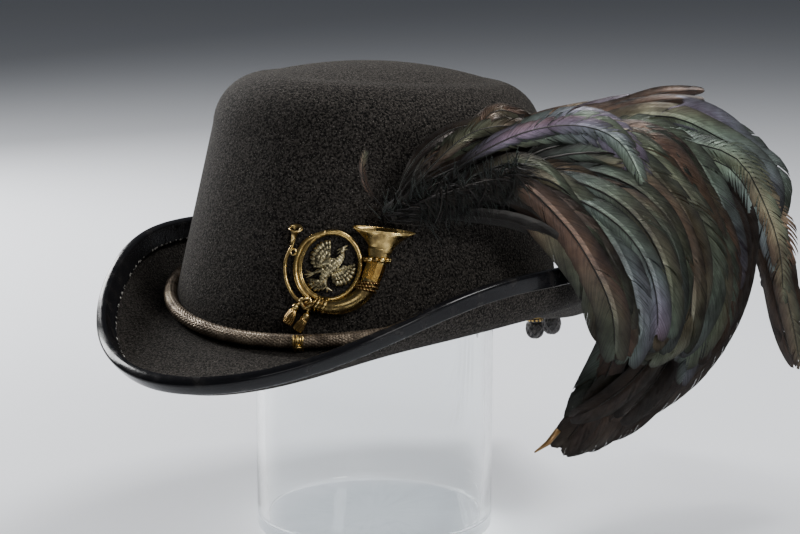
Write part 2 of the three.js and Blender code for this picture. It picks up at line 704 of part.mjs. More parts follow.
// Thread tie that hugs the outer side of the hat cord below the badge's tassels
function cordTie() {
  const inner = cordRadius + GAP;
  const outer = inner + TIE_THICKNESS;
  const section = new THREE.Shape();
  section.absarc(0, 0, outer, radians(TIE_LOW_END), radians(TIE_HIGH_END), false);
  section.absarc(0, 0, inner, radians(TIE_HIGH_END), radians(TIE_LOW_END), true);
  const form = { depth: TIE_LENGTH, bevelEnabled: false, curveSegments: 5 };
  const tie = new THREE.ExtrudeGeometry(section, form);
  const t = radians(TIE_ANGLE);
  const next = t + radians(1);
  const middle = aroundHat(t, cordMiddle(t));
  const along = aroundHat(next, cordMiddle(next)).sub(middle).normalize();
  const out = new THREE.Vector3().crossVectors(along, new THREE.Vector3(0, 0, 1)).normalize();
  const up = new THREE.Vector3().crossVectors(out, along);
  const basis = new THREE.Matrix4().makeBasis(out, up, new THREE.Vector3().crossVectors(out, up));
  basis.setPosition(middle);
  return tie.translate(0, 0, -TIE_LENGTH / 2).applyMatrix4(basis);
}

// Barrel slide on the brim behind the crown, which gathers the cord's two ends
function slideMiddle() {
  const t = Math.PI;
  const y = cordMiddle(t).x + cordRadius + GAP + SLIDE_LENGTH / 2;
  const brim = brimCurve(t);
  const here = nearEdge(brim, brim.getLength() - (y - footRadius(t)));
  return new THREE.Vector3(0, y, here.point.y + GAP + SLIDE_HEIGHT / 2);
}

// Barrel's outline in shares of its half height and half width
const SLIDE_FORM = [[0, -1], [0.7, -1], [1, -0.9], [1, 0.9], [0.7, 1], [0, 1]];

function cordSlide() {
  const profile = SLIDE_FORM.map(([out, along]) => new THREE.Vector2(out, (along * SLIDE_WIDTH) / 2));
  const middle = slideMiddle();
  const barrel = new THREE.LatheGeometry(profile, 12).rotateZ(-Math.PI / 2);
  return barrel.scale(1, SLIDE_LENGTH / 2, SLIDE_HEIGHT / 2).translate(middle.x, middle.y, middle.z);
}

// Two ends of the cord: how far aside each leaves the slide and crosses the brim's edge,
// and how far it hangs below that
const CORD_ENDS = {
  right: { start: -2.4, finish: -1.1, drop: 8 },
  left: { start: 2.4, finish: 9.8, drop: 4.5 },
};

// Way down in the tilted hat's own frame
const hatTurn = new THREE.Euler(radians(-TILT_BACK), radians(TILT_SIDE), 0);
const upright = new THREE.Quaternion().setFromEuler(hatTurn).invert();
const plumb = new THREE.Vector3(0, 0, -1).applyQuaternion(upright);

// Route of a cord end: along the brim from the slide, round the binding in a springy bend, then plumb
function endRoute({ start, finish, drop }) {
  const radius = CORD_END_DIAMETER / 2;
  const bend = FELT / 2 + GAP + LEATHER + radius + END_SPRING;
  const begin = slideMiddle().y + SLIDE_LENGTH / 2 + GAP;
  const path = [];
  const add = (aside, flat) => path.push(aroundHat(Math.PI - Math.asin(aside / flat.x), flat));
  for (let i = 0; i < END_STEPS; i++) {
    const share = i / END_STEPS;
    const aside = lerp(start, finish, THREE.MathUtils.smoothstep(share, 0, 1));
    const brim = brimCurve(Math.PI - Math.asin(aside / begin));
    const inward = (brim.getLength() - (begin - footRadius(Math.PI))) * (1 - share);
    const climb = THREE.MathUtils.smoothstep(END_CLIMB - inward, 0, END_CLIMB);
    const over = lerp(radius + END_CLEAR, bend - FELT / 2, climb);
    const { point, down } = nearEdge(brim, inward);
    add(aside, point.clone().addScaledVector(down, -over));
  }
  const { point, out, down } = nearEdge(brimCurve(Math.PI - Math.asin(finish / begin)), 0);
  const middle = point.clone().addScaledVector(out, GAP).addScaledVector(down, FELT / 2);
  const from = Math.atan2(-down.y, -down.x);
  for (let i = 0; i <= 4; i++) {
    const turn = lerp(from, 0, i / 4);
    add(finish, middle.clone().add(new THREE.Vector2(Math.cos(turn), Math.sin(turn)).multiplyScalar(bend)));
  }
  const last = path.at(-1);
  for (const share of [0.5, 1]) path.push(last.clone().addScaledVector(plumb, share * drop));
  return path;
}

function cordEnd(route) {
  const section = new THREE.Shape();
  for (let k = 0; k < CORD_SIDES; k++) {
    const turn = (2 * Math.PI * k) / CORD_SIDES;
    const x = (CORD_END_DIAMETER / 2) * Math.cos(turn);
    const y = (CORD_END_DIAMETER / 2) * Math.sin(turn);
    if (k === 0) section.moveTo(x, y);
    else section.lineTo(x, y);
  }
  section.closePath();
  const path = new THREE.CatmullRomCurve3(route);
  return new THREE.ExtrudeGeometry(section, { steps: 18, bevelEnabled: false, extrudePath: path });
}

// Acorn: shares of its radius and of its height, from its tip up to its cap
const ACORN_FORM = [
  [0, 0], [0.42, 0.04], [0.84, 0.18], [1, 0.38], [0.94, 0.58], [0.82, 0.68],
  [0.94, 0.7], [0.94, 0.78], [0.62, 0.9], [0.32, 0.94], [0.3, 1], [0, 1],
];

function acorn() {
  const profile = ACORN_FORM.map(([out, up]) => {
    return new THREE.Vector2((out * ACORN_DIAMETER) / 2, up * ACORN_HEIGHT);
  });
  return new THREE.LatheGeometry(profile, 10).rotateX(Math.PI / 2);
}

function glassStand() {
  const profile = [
    new THREE.Vector2(0, 0),
    new THREE.Vector2(STAND_RADIUS, 0),
    new THREE.Vector2(STAND_RADIUS, STAND_HEIGHT),
    new THREE.Vector2(STAND_RADIUS - STAND_WALL, STAND_HEIGHT),
    new THREE.Vector2(STAND_RADIUS - STAND_WALL, STAND_BASE),
    new THREE.Vector2(0, STAND_BASE),
  ];
  return new THREE.LatheGeometry(profile, GLASS_SIDES).rotateX(Math.PI / 2);
}

function piece(name, geometry, color, roughness, metalness = 0) {
  const mesh = new THREE.Mesh(geometry, new THREE.MeshStandardMaterial({ color, roughness, metalness }));
  mesh.name = name;
  return mesh;
}

const hat = new THREE.Group();
hat.rotation.copy(hatTurn);
const felt = piece('felt_body', feltBody(), 0x151413, 0.95);
hat.add(
  felt,
  piece('edge_binding', skinOver(ringsAround(bindingSection)), 0x0b0b0c, 0.2),
  piece('hat_cord', skinOver(ringsAround(cordSection)), 0x8a7a5c, 0.45, 0.7),
  piece('cord_tie', cordTie(), 0xa88433, 0.4, 0.9),
  piece('cord_slide', cordSlide(), 0x6b5c40, 0.5, 0.6),
  piece('horn_badge', hornBadge(), 0xb8913f, 0.35, 1),
  piece('badge_eagle', badgeEagle(), 0xa8a08c, 0.4, 1),
  piece('plume', plume(), 0x1c1f1c, 0.6),
  piece('plume_sleeve', plumeSleeve(), 0x17130f, 0.7),
);

// An acorn hangs plumb below each end of the cord
for (const [side, form] of Object.entries(CORD_ENDS)) {
  const route = endRoute(form);
  const drop = piece(`acorn_${side}`, acorn(), 0x1a1817, 0.8);
  drop.position.copy(route.at(-1)).addScaledVector(plumb, GAP + ACORN_HEIGHT);
  drop.quaternion.copy(hat.quaternion).invert();
  hat.add(piece(`cord_end_${side}`, cordEnd(route), 0x8a7a5c, 0.45, 0.7), drop);
}

// Height at which the tilted crown comes to rest on the glass rim
function restingHeight() {
  hat.position.set(HAT_SHIFT_X, HAT_SHIFT_Y, 0);
  hat.updateMatrixWorld(true);
  const ray = new THREE.Raycaster();
  let lowest = Infinity;
  for (let k = 0; k < GLASS_SIDES; k++) {
    const turn = (2 * Math.PI * k) / GLASS_SIDES;
    const south = -STAND_RADIUS * Math.cos(turn);
    const below = new THREE.Vector3(STAND_RADIUS * Math.sin(turn), south, -CROWN_HEIGHT);
    ray.set(below, new THREE.Vector3(0, 0, 1));
    lowest = Math.min(lowest, ray.intersectObject(felt)[0].point.z);
  }
  return STAND_HEIGHT + GAP - lowest;
}

hat.position.z = restingHeight();

const part = new THREE.Group();
part.add(hat, piece('glass_stand', glassStand(), 0xdfe6ea, 0.05));

export default part;
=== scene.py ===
"""Officer's parade hat on its glass cylinder: felt hood, leather binding, braided cord, horn badge, plume."""

import json
import math

import bpy
import numpy as np
from mathutils import Matrix, Vector

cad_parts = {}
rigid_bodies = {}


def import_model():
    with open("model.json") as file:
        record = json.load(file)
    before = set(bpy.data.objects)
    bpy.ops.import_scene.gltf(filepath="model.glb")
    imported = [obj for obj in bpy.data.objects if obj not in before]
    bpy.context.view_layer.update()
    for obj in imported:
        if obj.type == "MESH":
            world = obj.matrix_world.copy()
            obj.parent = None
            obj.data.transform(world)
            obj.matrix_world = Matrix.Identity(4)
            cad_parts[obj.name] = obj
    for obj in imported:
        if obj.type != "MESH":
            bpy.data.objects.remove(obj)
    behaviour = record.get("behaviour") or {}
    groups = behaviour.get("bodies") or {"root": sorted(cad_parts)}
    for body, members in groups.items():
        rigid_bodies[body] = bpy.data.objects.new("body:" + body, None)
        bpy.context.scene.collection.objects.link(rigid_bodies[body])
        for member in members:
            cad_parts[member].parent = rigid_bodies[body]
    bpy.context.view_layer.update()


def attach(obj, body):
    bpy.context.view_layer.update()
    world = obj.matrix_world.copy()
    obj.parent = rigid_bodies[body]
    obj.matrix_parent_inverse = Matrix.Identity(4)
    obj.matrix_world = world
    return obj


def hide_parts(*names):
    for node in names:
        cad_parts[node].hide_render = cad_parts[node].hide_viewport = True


for spare in list(bpy.data.objects):
    bpy.data.objects.remove(spare)
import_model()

# Sizes in millimetres, in the hat's own frame: front -Y, wearer's left +X,
# zero height where the crown's wall meets the brim at the two sides
GAP = 0.3
FELT = 2.4
HEAD_LENGTH = 202
HEAD_WIDTH = 166
CROWN_HEIGHT = 99
CROWN_DOME = 6.8
SHOULDER_RADIUS = 24.7
SHOULDER_SHARE_LONG = 0.836
SHOULDER_SHARE_WIDE = 0.873
FOOT_ROUNDING = 3
FOOT_DIP = 15.2
BRIM_FRONT = 55.7
BRIM_BACK = 58.9
BRIM_SIDE = 16.6
BRIM_SQUARENESS = 1.905
SIDE_ROLL = 42
BRIM_START_ANGLE = -5.2
CURL_ANGLE_FRONT = 43.9
CURL_ANGLE_SIDE = 98.9
START_PULL = 0.545
CURL_PULL = 0.394
# Waves of the edge and of the crown's foot round the hat: how many turns, and the share of each
EDGE_WAVES = ((0, 0.11), (1, 0.014), (2, -0.512), (3, 0.014), (4, -0.124))
FOOT_WAVES = ((1, -0.158), (2, -0.411), (3, -0.02), (4, -0.017))
LEATHER = 1
BINDING_UPPER = 8.5
BINDING_UNDER = 6
CORD_RADIUS = 2.9
CORD_LIFT = 1.6
CORD_END_RADIUS = 1.5
END_CLEAR = 1.2
END_CLIMB = 18
END_SPRING = 2.4
END_STEPS = 12
CORD_ENDS = {
    "right": {"start": -2.4, "finish": -1.1, "drop": 8},
    "left": {"start": 2.4, "finish": 9.8, "drop": 4.5},
}
SLIDE_LENGTH = 8
SLIDE_WIDTH = 11
SLIDE_HEIGHT = 6
ACORN_RADIUS = 5.2
ACORN_HEIGHT = 14
TIE_LENGTH = 6.5
TIE_THICKNESS = 1.4
TIE_ANGLE = 16
BADGE_ANGLE = 25.3
BADGE_HEIGHT = 22.4
COIL_OPENING = 13.2
COIL_TUBE = 1.25
BADGE_BREADTH = 0.88
COIL_RADIUS = COIL_OPENING + COIL_TUBE
PLUME_ANGLE = 38.9
PLUME_HEIGHT = 43
PLUME_STAND_OFF = 5.4
PLUME_HEADING = 30
PLUME_SPREAD_HEADING = 32
PLUME_REACH = 227
QUILL_RADIUS = 2.6
QUILL_RISE = 35
SLEEVE_START = 2.4
SLEEVE_LENGTH = 9
SLEEVE_WALL = 1
STAND_RADIUS = 56
STAND_WALL = 4
STAND_BASE = 5
STAND_HEIGHT = 206.8
TILT_BACK = 4
TILT_SIDE = 1.2
HAT_PLACE = (-1.5, -0.5, 114.016)
MILLIMETRE = 0.001
# Steps round and along the forms, how the braids are laid (grains round them and their spacing), and how many
# there are of what repeats
BRIM_STEPS = 241
HOOD_TURNS = 240
BINDING_TURNS = 400
CORE_TURNS = 240
BRAID_TURNS = 420
GLASS_TURNS = 144
CORD_BRAID = (12, 1.25)
END_BRAID = (7, 0.75)
END_POINTS = 36
END_BRAID_POINTS = 90
NETTING_STRANDS = 9
COLLAR_BEADS = 14
SLIDE_WRAPS = 15
SLEEVE_STITCHES = 6
TASSEL_STRANDS = 11

HAT_TURN = np.array(
    Matrix.Rotation(math.radians(-TILT_BACK), 3, "X") @ Matrix.Rotation(math.radians(TILT_SIDE), 3, "Y")
)


def on_stand(points):
    """Points of the hat's frame in millimetres, as places of the whole part in metres."""
    return (np.asarray(points, float) @ HAT_TURN.T + np.array(HAT_PLACE)) * MILLIMETRE


def lerp(a, b, share):
    return a + (b - a) * share


def smooth(share):
    share = np.clip(share, 0, 1)
    return share * share * (3 - 2 * share)


def unit(v):
    v = np.asarray(v, float)
    return v / np.maximum(np.linalg.norm(v, axis=-1, keepdims=True), 1e-12)


def full_turn(count, start=0):
    """Angles of evenly spaced places round a circle."""
    return (np.arange(count) + start) * 2 * math.pi / count


def bezier(corners, count):
    a, b, c, d = (np.asarray(p, float) for p in corners)
    u = np.linspace(0, 1, count)[:, None]
    return (1 - u) ** 3 * a + 3 * u * (1 - u) ** 2 * b + 3 * u * u * (1 - u) * c + u**3 * d


# Form of the felt hood, for an angle t that runs from the front to the wearer's left
WALL_TOP = CROWN_HEIGHT - SHOULDER_RADIUS


def oval_radius(wide, long, t, power=2.0):
    across = np.abs(np.sin(t) / wide) ** power
    along = np.abs(np.cos(t) / long) ** power
    return (across + along) ** (-1 / power)


def crown_at(z):
    share = np.maximum(z, 0) / WALL_TOP
    wide_loss = HEAD_WIDTH / 2 * (1 - SHOULDER_SHARE_WIDE)
    long_loss = HEAD_LENGTH / 2 * (1 - SHOULDER_SHARE_LONG)
    wide = HEAD_WIDTH / 2 - wide_loss * share
    long = HEAD_LENGTH / 2 - long_loss * share
    return wide, long, -wide_loss / WALL_TOP, -long_loss / WALL_TOP


def foot_height(t):
    return FOOT_DIP * sum(s * (math.cos(w * t) - math.cos(w * math.pi / 2)) for w, s in FOOT_WAVES)


def foot_radius(t):
    return oval_radius(HEAD_WIDTH / 2, HEAD_LENGTH / 2, t)


def edge_point(t):
    reach = BRIM_FRONT if math.cos(t) > 0 else BRIM_BACK
    out = oval_radius(HEAD_WIDTH / 2 + BRIM_SIDE, HEAD_LENGTH / 2 + reach, t, BRIM_SQUARENESS)
    return np.array([out, SIDE_ROLL * sum(s * math.cos(w * t) for w, s in EDGE_WAVES)])


class BrimSection:
    """Upper face of the brim in the upright plane at angle t, measured by its distance in from the edge."""

    def __init__(self, t):
        foot = np.array([foot_radius(t), foot_height(t)])
        edge = edge_point(t)
        span = np.linalg.norm(edge - foot)
        start = math.radians(BRIM_START_ANGLE)
        curl = math.radians(lerp(CURL_ANGLE_FRONT, CURL_ANGLE_SIDE, math.sin(t) ** 2))
        one = foot + START_PULL * span * np.array([math.cos(start), math.sin(start)])
        two = edge - CURL_PULL * span * np.array([math.cos(curl), math.sin(curl)])
        self.points = bezier((foot, one, two, edge), BRIM_STEPS)
        step = np.linalg.norm(np.diff(self.points, axis=0), axis=1)
        self.at = np.concatenate([[0], np.cumsum(step)])
        self.length = self.at[-1]
        self.ways = unit(np.gradient(self.points, axis=0))

    def near_edge(self, inward):
        place = self.length - np.atleast_1d(inward)
        point = np.stack([np.interp(place, self.at, self.points[:, i]) for i in (0, 1)], 1)
        out = unit(np.stack([np.interp(place, self.at, self.ways[:, i]) for i in (0, 1)], 1))
        return point, out, np.stack([out[:, 1], -out[:, 0]], 1)


def around_hat(t, flat):
    flat = np.asarray(flat, float)
    return np.stack([flat[..., 0] * np.sin(t), -flat[..., 0] * np.cos(t), flat[..., 1]], -1)


def hood_line(t):
    """Outer line of the hood at angle t, from the middle of the top to the brim's edge, and the way in."""
    wide, long, _, _ = crown_at(WALL_TOP)

    def shoulder(turn):
        loss = SHOULDER_RADIUS * (1 - math.cos(turn))
        return oval_radius(wide - loss, long - loss, t)

    rows = []
    for share in np.linspace(0.04, 1, 14):
        rows.append((share * shoulder(math.pi / 2), CROWN_HEIGHT + CROWN_DOME * (1 - share * share)))
    for turn in np.radians(np.linspace(84, 0, 13)):
        rows.append((shoulder(turn), WALL_TOP + SHOULDER_RADIUS * math.sin(turn)))
    foot = foot_height(t)
    brim = BrimSection(t)
    for share in np.linspace(0.06, 1, 22):
        height = lerp(WALL_TOP, foot + FOOT_ROUNDING, share)
        wall = crown_at(height)
        rows.append((oval_radius(wall[0], wall[1], t), height))
    corner = np.array([foot_radius(t), foot])
    above = np.array(rows[-1])
    beyond = brim.near_edge(brim.length - FOOT_ROUNDING)[0][0]
    for u in np.linspace(0.2, 1, 5):
        rows.append(tuple((1 - u) ** 2 * above + 2 * u * (1 - u) * corner + u * u * beyond))
    inward = np.linspace(brim.length - FOOT_ROUNDING, 0, 44)[1:]
    rows.extend(map(tuple, brim.near_edge(inward)[0]))
    line = np.array(rows)
    way = unit(np.gradient(line, axis=0))
    return line, np.stack([way[:, 1], -way[:, 0]], 1)


def on_crown(angle, height, along, up, away):
    """Places near a spot of the crown's wall: along the wall, up it and away from it."""
    along, up, away = (np.asarray(v, float) for v in (along, up, away))
    wide, long, _, long_slope = crown_at(height)

    def pace(p):
        return np.hypot(wide * np.cos(p), long * np.sin(p))

    start = math.radians(angle)
    p = start + along / pace(start + along / pace(start) / 2)
    z = height + up / math.hypot(1, long_slope)
    w, l, ws, ls = crown_at(z)
    slope = np.sin(p) ** 2 * ws / w + np.cos(p) ** 2 * ls / l
    normal = unit(np.stack([np.sin(p) / w, -np.cos(p) / l, np.where(z > 0, -slope, 0)], -1))
    return np.stack([w * np.sin(p), -l * np.cos(p), z], -1) + normal * away[..., None]


class Gather:
    """Points, faces, pattern marks and tints of one piece, gathered in millimetres."""

    def __init__(self):
        self.points, self.faces, self.marks, self.tints = [], [], [], []
        self.count = 0

    def add(self, points, faces, marks=None, tint=(1, 1, 1)):
        points = np.asarray(points, float)
        n = len(points)
        self.points.append(points)
        self.faces.extend(tuple(i + self.count for i in face) for face in faces)
        self.marks.append(np.zeros((n, 2)) if marks is None else np.asarray(marks, float))
        self.tints.append(np.broadcast_to(np.asarray(tint, float), (n, 3)))
        self.count += n

    def piece(self, name, material, slot, replaces=(), place=on_stand):
        points = place(np.concatenate(self.points))
        mesh = bpy.data.meshes.new(name)
        mesh.from_pydata(points.tolist(), [], self.faces)
        marks = np.concatenate(self.marks)
        corners = np.zeros(len(mesh.loops), np.int32)
        mesh.loops.foreach_get("vertex_index", corners)
        mesh.uv_layers.new(name="marks").data.foreach_set("uv", marks[corners].ravel())
        tints = np.concatenate([np.concatenate(self.tints), np.ones((self.count, 1))], 1)
        mesh.color_attributes.new("tint", "FLOAT_COLOR", "POINT").data.foreach_set("color", tints.ravel())
        mesh.materials.append(material)
        mesh.polygons.foreach_set("use_smooth", [True] * len(mesh.polygons))
        mesh.update()
        piece = bpy.data.objects.new(name, mesh)
        bpy.context.scene.collection.objects.link(piece)
        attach(piece, "root")
        if replaces:
            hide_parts(*replaces)
        return piece


def lattice(rows, sides, join_rows=True):
    """Faces between closed rings of points. With join_rows, the last ring joins the first."""
    faces = []
    for i in range(rows if join_rows else rows - 1):
        here, there = i * sides, (i + 1) % rows * sides
        for k in range(sides):
            right = (k + 1) % sides
            faces.append((here + k, there + k, there + right, here + right))
    return faces


def outward(points, faces):
    """The faces turned so that a closed form's point out."""
    volume = 0.0
    for face in faces:
        a = points[face[0]]
        for i in range(1, len(face) - 1):
            volume += np.dot(a, np.cross(points[face[i]], points[face[i + 1]]))
    return faces if volume > 0 else [tuple(reversed(face)) for face in faces]


def closed_net(rings):
    """Closed form through a row of rings, the last of which joins the first."""
    rings = np.asarray(rings, float)
    points = rings.reshape(-1, 3)
    return points, outward(points, lattice(*rings.shape[:2]))


def closed_skin(rings):
    """Closed form through a row of rings, its ends closed by a point each."""
    rings = np.asarray(rings, float)
    count, sides = rings.shape[:2]
    points = np.concatenate([rings.reshape(-1, 3), rings[0].mean(0)[None], rings[-1].mean(0)[None]])
    faces = lattice(count, sides, join_rows=False)
    tip, last = count * sides, (count - 1) * sides
    for k in range(sides):
        turn = (k + 1) % sides
        faces.append((tip, k, turn))
        faces.append((tip + 1, last + turn, last + k))
    return points, outward(points, faces)


def course(rows, count):
    """Smooth course through rows of numbers, at evenly shared steps of its row count."""
    rows = np.asarray(rows, float)
    padded = np.concatenate([[2 * rows[0] - rows[1]], rows, [2 * rows[-1] - rows[-2]]])
    u = np.linspace(0, len(rows) - 1, count)
    i = np.minimum(u.astype(int), len(rows) - 2)
    f = (u - i)[:, None]
    a, b, c, d = (padded[i + k] for k in range(4))
    return 0.5 * (2 * b + (c - a) * f + (2 * a - 5 * b + 4 * c - d) * f**2 + (3 * b - a - 3 * c + d) * f**3)


def even_course(points, count):
    """The same line with evenly spaced points."""
    points = np.asarray(points, float)
    at = np.concatenate([[0], np.cumsum(np.linalg.norm(np.diff(points, axis=0), axis=1))])
    place = np.linspace(0, at[-1], count)
    return np.stack([np.interp(place, at, points[:, i]) for i in range(points.shape[1])], 1)


def level_ring(radius, height, sides):
    turn = full_turn(sides)
    return np.stack([radius * np.cos(turn), radius * np.sin(turn), np.full(sides, height)], 1)


def tube_rings(path, radius, sides, squash=1.0, first=(0.31, 0.2, 0.93)):
    """Rings round a path. The first direction is carried along it without turning."""
    path = np.asarray(path, float)
    radius = np.broadcast_to(np.asarray(radius, float), (len(path),))
    side = np.array(first, float)
    turn = full_turn(sides)[:, None]
    rings = []
    for at, reach, way in zip(path, radius, unit(np.gradient(path, axis=0))):
        side = unit(side - way * np.dot(side, way))
        other = np.cross(way, side)
        rings.append(at + reach * (np.cos(turn) * side + squash * np.sin(turn) * other))
    return np.array(rings)


def closed_tube(path, radius, sides, axis=None):
    """Tube along a closed path, which lies almost level or square to the axis given."""
    path = np.asarray(path, float)
    ways = unit(np.roll(path, -1, 0) - np.roll(path, 1, 0))
    if axis is None:
        side = unit(np.cross(ways, (0, 0, 1)))
        other = np.cross(side, ways)
    else:
        side = np.broadcast_to(np.asarray(axis, float), path.shape)
        other = np.cross(ways, side)
    turn = full_turn(sides)[:, None]
    return closed_net(path[:, None] + radius * (np.cos(turn) * side[:, None] + np.sin(turn) * other[:, None]))


def add_tube(gather, path, radius, sides, tint=(1, 1, 1)):
    points, faces = closed_skin(tube_rings(path, radius, sides))
    gather.add(points, faces, tint=tint)


def add_ball(gather, middle, radius, rows=8, sides=12, stretch=(1, 1, 1), tint=(1, 1, 1), place=np.asarray):
    rings = []
    for i in range(1, rows):
        lean = math.pi * i / rows
        ring = level_ring(math.sin(lean), math.cos(lean), sides)
        rings.append(np.asarray(middle) + radius * ring * stretch)
    points, faces = closed_skin(rings)
    gather.add(place(points), faces, tint=tint)


# Camera, at the photograph's viewing angle
camera = bpy.data.objects.new("camera", bpy.data.cameras.new("camera"))
bpy.context.scene.collection.objects.link(camera)
camera.location = (0.52934, -0.81991, 0.31711)
camera.rotation_mode = "QUATERNION"
aim = Vector((0.01121, 0.00503, 0.12386)) - camera.location
camera.rotation_quaternion = aim.to_track_quat("-Z", "Y")
camera.data.sensor_width = 36
camera.data.lens = 95.55
camera.data.clip_start = 0.01
bpy.context.scene.camera = camera


# Node helpers
def add_node(tree, kind, inputs=None, **settings):
    node = tree.nodes.new(kind)
    for name, value in settings.items():
        setattr(node, name, value)
    for name, value in (inputs or {}).items():
        if isinstance(value, bpy.types.NodeSocket):
            tree.links.new(value, node.inputs[name])
        else:
            node.inputs[name].default_value = value
    return node


def math_node(tree, operation, one, two):
    return add_node(tree, "ShaderNodeMath", {0: one, 1: two}, operation=operation).outputs[0]


def noise(tree, place, scale, detail, **more):
    inputs = {"Vector": place, "Scale": scale, "Detail": detail, **more}
    return add_node(tree, "ShaderNodeTexNoise", inputs).outputs["Fac"]


def parts_of(tree, vector):
    return add_node(tree, "ShaderNodeSeparateXYZ", {0: vector}).outputs


def combined(tree, **parts):
    return add_node(tree, "ShaderNodeCombineXYZ", parts).outputs[0]


def mix_colour(tree, share, one, two, blend="MIX"):
    one, two = (c if isinstance(c, bpy.types.NodeSocket) else (*c, 1) for c in (one, two))
    inputs = {0: share, 6: one, 7: two}
    return add_node(tree, "ShaderNodeMix", inputs, data_type="RGBA", blend_type=blend).outputs[2]


def multiplied(tree, one, two):
    return mix_colour(tree, 1.0, one, two, "MULTIPLY")


def ramp(tree, value, stops):
    """Share that follows a value between the stops, each a place and a height."""
    node = add_node(tree, "ShaderNodeValToRGB", {"Fac": value})
    elements = node.color_ramp.elements
    while len(elements) < len(stops):
        elements.new(0.5)
    for element, (place, height) in zip(elements, stops):
        element.position = place
        element.color = (height, height, height, 1)
    return node.outputs["Color"]


def wire(tree, inputs, sockets):
    """Links each named input to the socket given for it."""
    for name, socket in sockets.items():
        tree.links.new(socket, inputs[name])


def new_group(name, kind, inputs, outputs):
    """Node group with named sockets: its tree, what it is given, and where it puts out."""
    tree = bpy.data.node_groups.new(name, kind)
    for in_out, rows in (("INPUT", inputs), ("OUTPUT", outputs)):
        for label, socket_kind, *value in rows:
            socket = tree.interface.new_socket(label, in_out=in_out, socket_type="NodeSocket" + socket_kind)
            if value:
                socket.default_value = value[0]
    return tree, tree.nodes.new("NodeGroupInput").outputs, tree.nodes.new("NodeGroupOutput").inputs


def fine_grain_effect():
    """Two sizes of soft grain: masks for colour and a height for bump."""
    tree, given, out = new_group(
        "fine_grain", "ShaderNodeTree",
        [("Place", "Vector"), ("Grain", "Float", 900.0), ("Patches", "Float", 60.0)],
        [("Mask", "Float"), ("Patch", "Float"), ("Height", "Float")],
    )
    grain = noise(tree, given["Place"], given["Grain"], 3.0)
    patch = noise(tree, given["Place"], given["Patches"], 4.0)
    wire(tree, out, {
        "Mask": ramp(tree, grain, [(0.4, 0), (0.68, 1)]),
        "Patch": ramp(tree, patch, [(0.35, 0), (0.7, 1)]),
        "Height": grain,
    })
    return tree


def tarnish_effect():
    """Old metal: bright where it is rubbed, dark and rough in patches."""
    tree, given, out = new_group(
        "tarnish", "ShaderNodeTree",
        [("Place", "Vector"), ("Size", "Float", 300.0), ("Bright", "Color", (1, 1, 1, 1)),
         ("Dull", "Color", (0, 0, 0, 1)), ("Smooth", "Float", 0.25), ("Rough", "Float", 0.55)],
        [("Colour", "Color"), ("Roughness", "Float"), ("Height", "Float")],
    )
    share = ramp(tree, noise(tree, given["Place"], given["Size"], 5.0), [(0.36, 0), (0.66, 1)])
    rough = add_node(tree, "ShaderNodeMapRange", {"Value": share, 3: given["Smooth"], 4: given["Rough"]})
    wire(tree, out, {
        "Colour": mix_colour(tree, share, given["Bright"], given["Dull"]),
        "Roughness": rough.outputs[0],
        "Height": noise(tree, given["Place"], 2600.0, 2.0),
    })
    return tree


FINE_GRAIN = fine_grain_effect()
TARNISH = tarnish_effect()


def place_group(tree, group, **inputs):
    return add_node(tree, "ShaderNodeGroup", inputs, node_tree=group).outputs


def new_material(name, **constants):
    material = bpy.data.materials.new(name)
    material.use_nodes = True
    tree = material.node_tree
    shader = tree.nodes["Principled BSDF"]
    for label, value in constants.items():
        shader.inputs[label.replace("_", " ")].default_value = value
    place = add_node(tree, "ShaderNodeTexCoord").outputs["Object"]
    return material, tree, shader, place


def marks_of(tree):
    marks = add_node(tree, "ShaderNodeUVMap", uv_map="marks").outputs["UV"]
    return parts_of(tree, marks)


def tint_of(tree):
    return add_node(tree, "ShaderNodeVertexColor", layer_name="tint").outputs["Color"]


def bump(tree, shader, height, distance, strength):
    node = add_node(tree, "ShaderNodeBump", {"Height": height, "Strength": strength, "Distance": distance})
    tree.links.new(node.outputs["Normal"], shader.inputs["Normal"])


def black_fur_felt():
    """Short-napped black felt with a brown-grey bloom and pale flecks."""
    material, tree, shader, place = new_material(
        "black_fur_felt", Roughness=0.92, Specular_IOR_Level=0.1, Sheen_Weight=0.015, Sheen_Roughness=0.5,
        Sheen_Tint=(0.75, 0.68, 0.6, 1),
    )
    nap = place_group(tree, FINE_GRAIN, Place=place, Grain=1050.0, Patches=38.0)
    bloom = mix_colour(tree, nap["Patch"], (0.0026, 0.0024, 0.0023), (0.006, 0.0052, 0.0047))
    colour = mix_colour(tree, nap["Mask"], bloom, (0.052, 0.046, 0.04))
    flecks = ramp(tree, noise(tree, place, 2400.0, 1.0), [(0.66, 0), (0.74, 1)])
    wire(tree, shader.inputs, {"Base Color": mix_colour(tree, flecks, colour, (0.2, 0.18, 0.16))})
    bump(tree, shader, nap["Height"], 0.0007, 1.0)
    return material


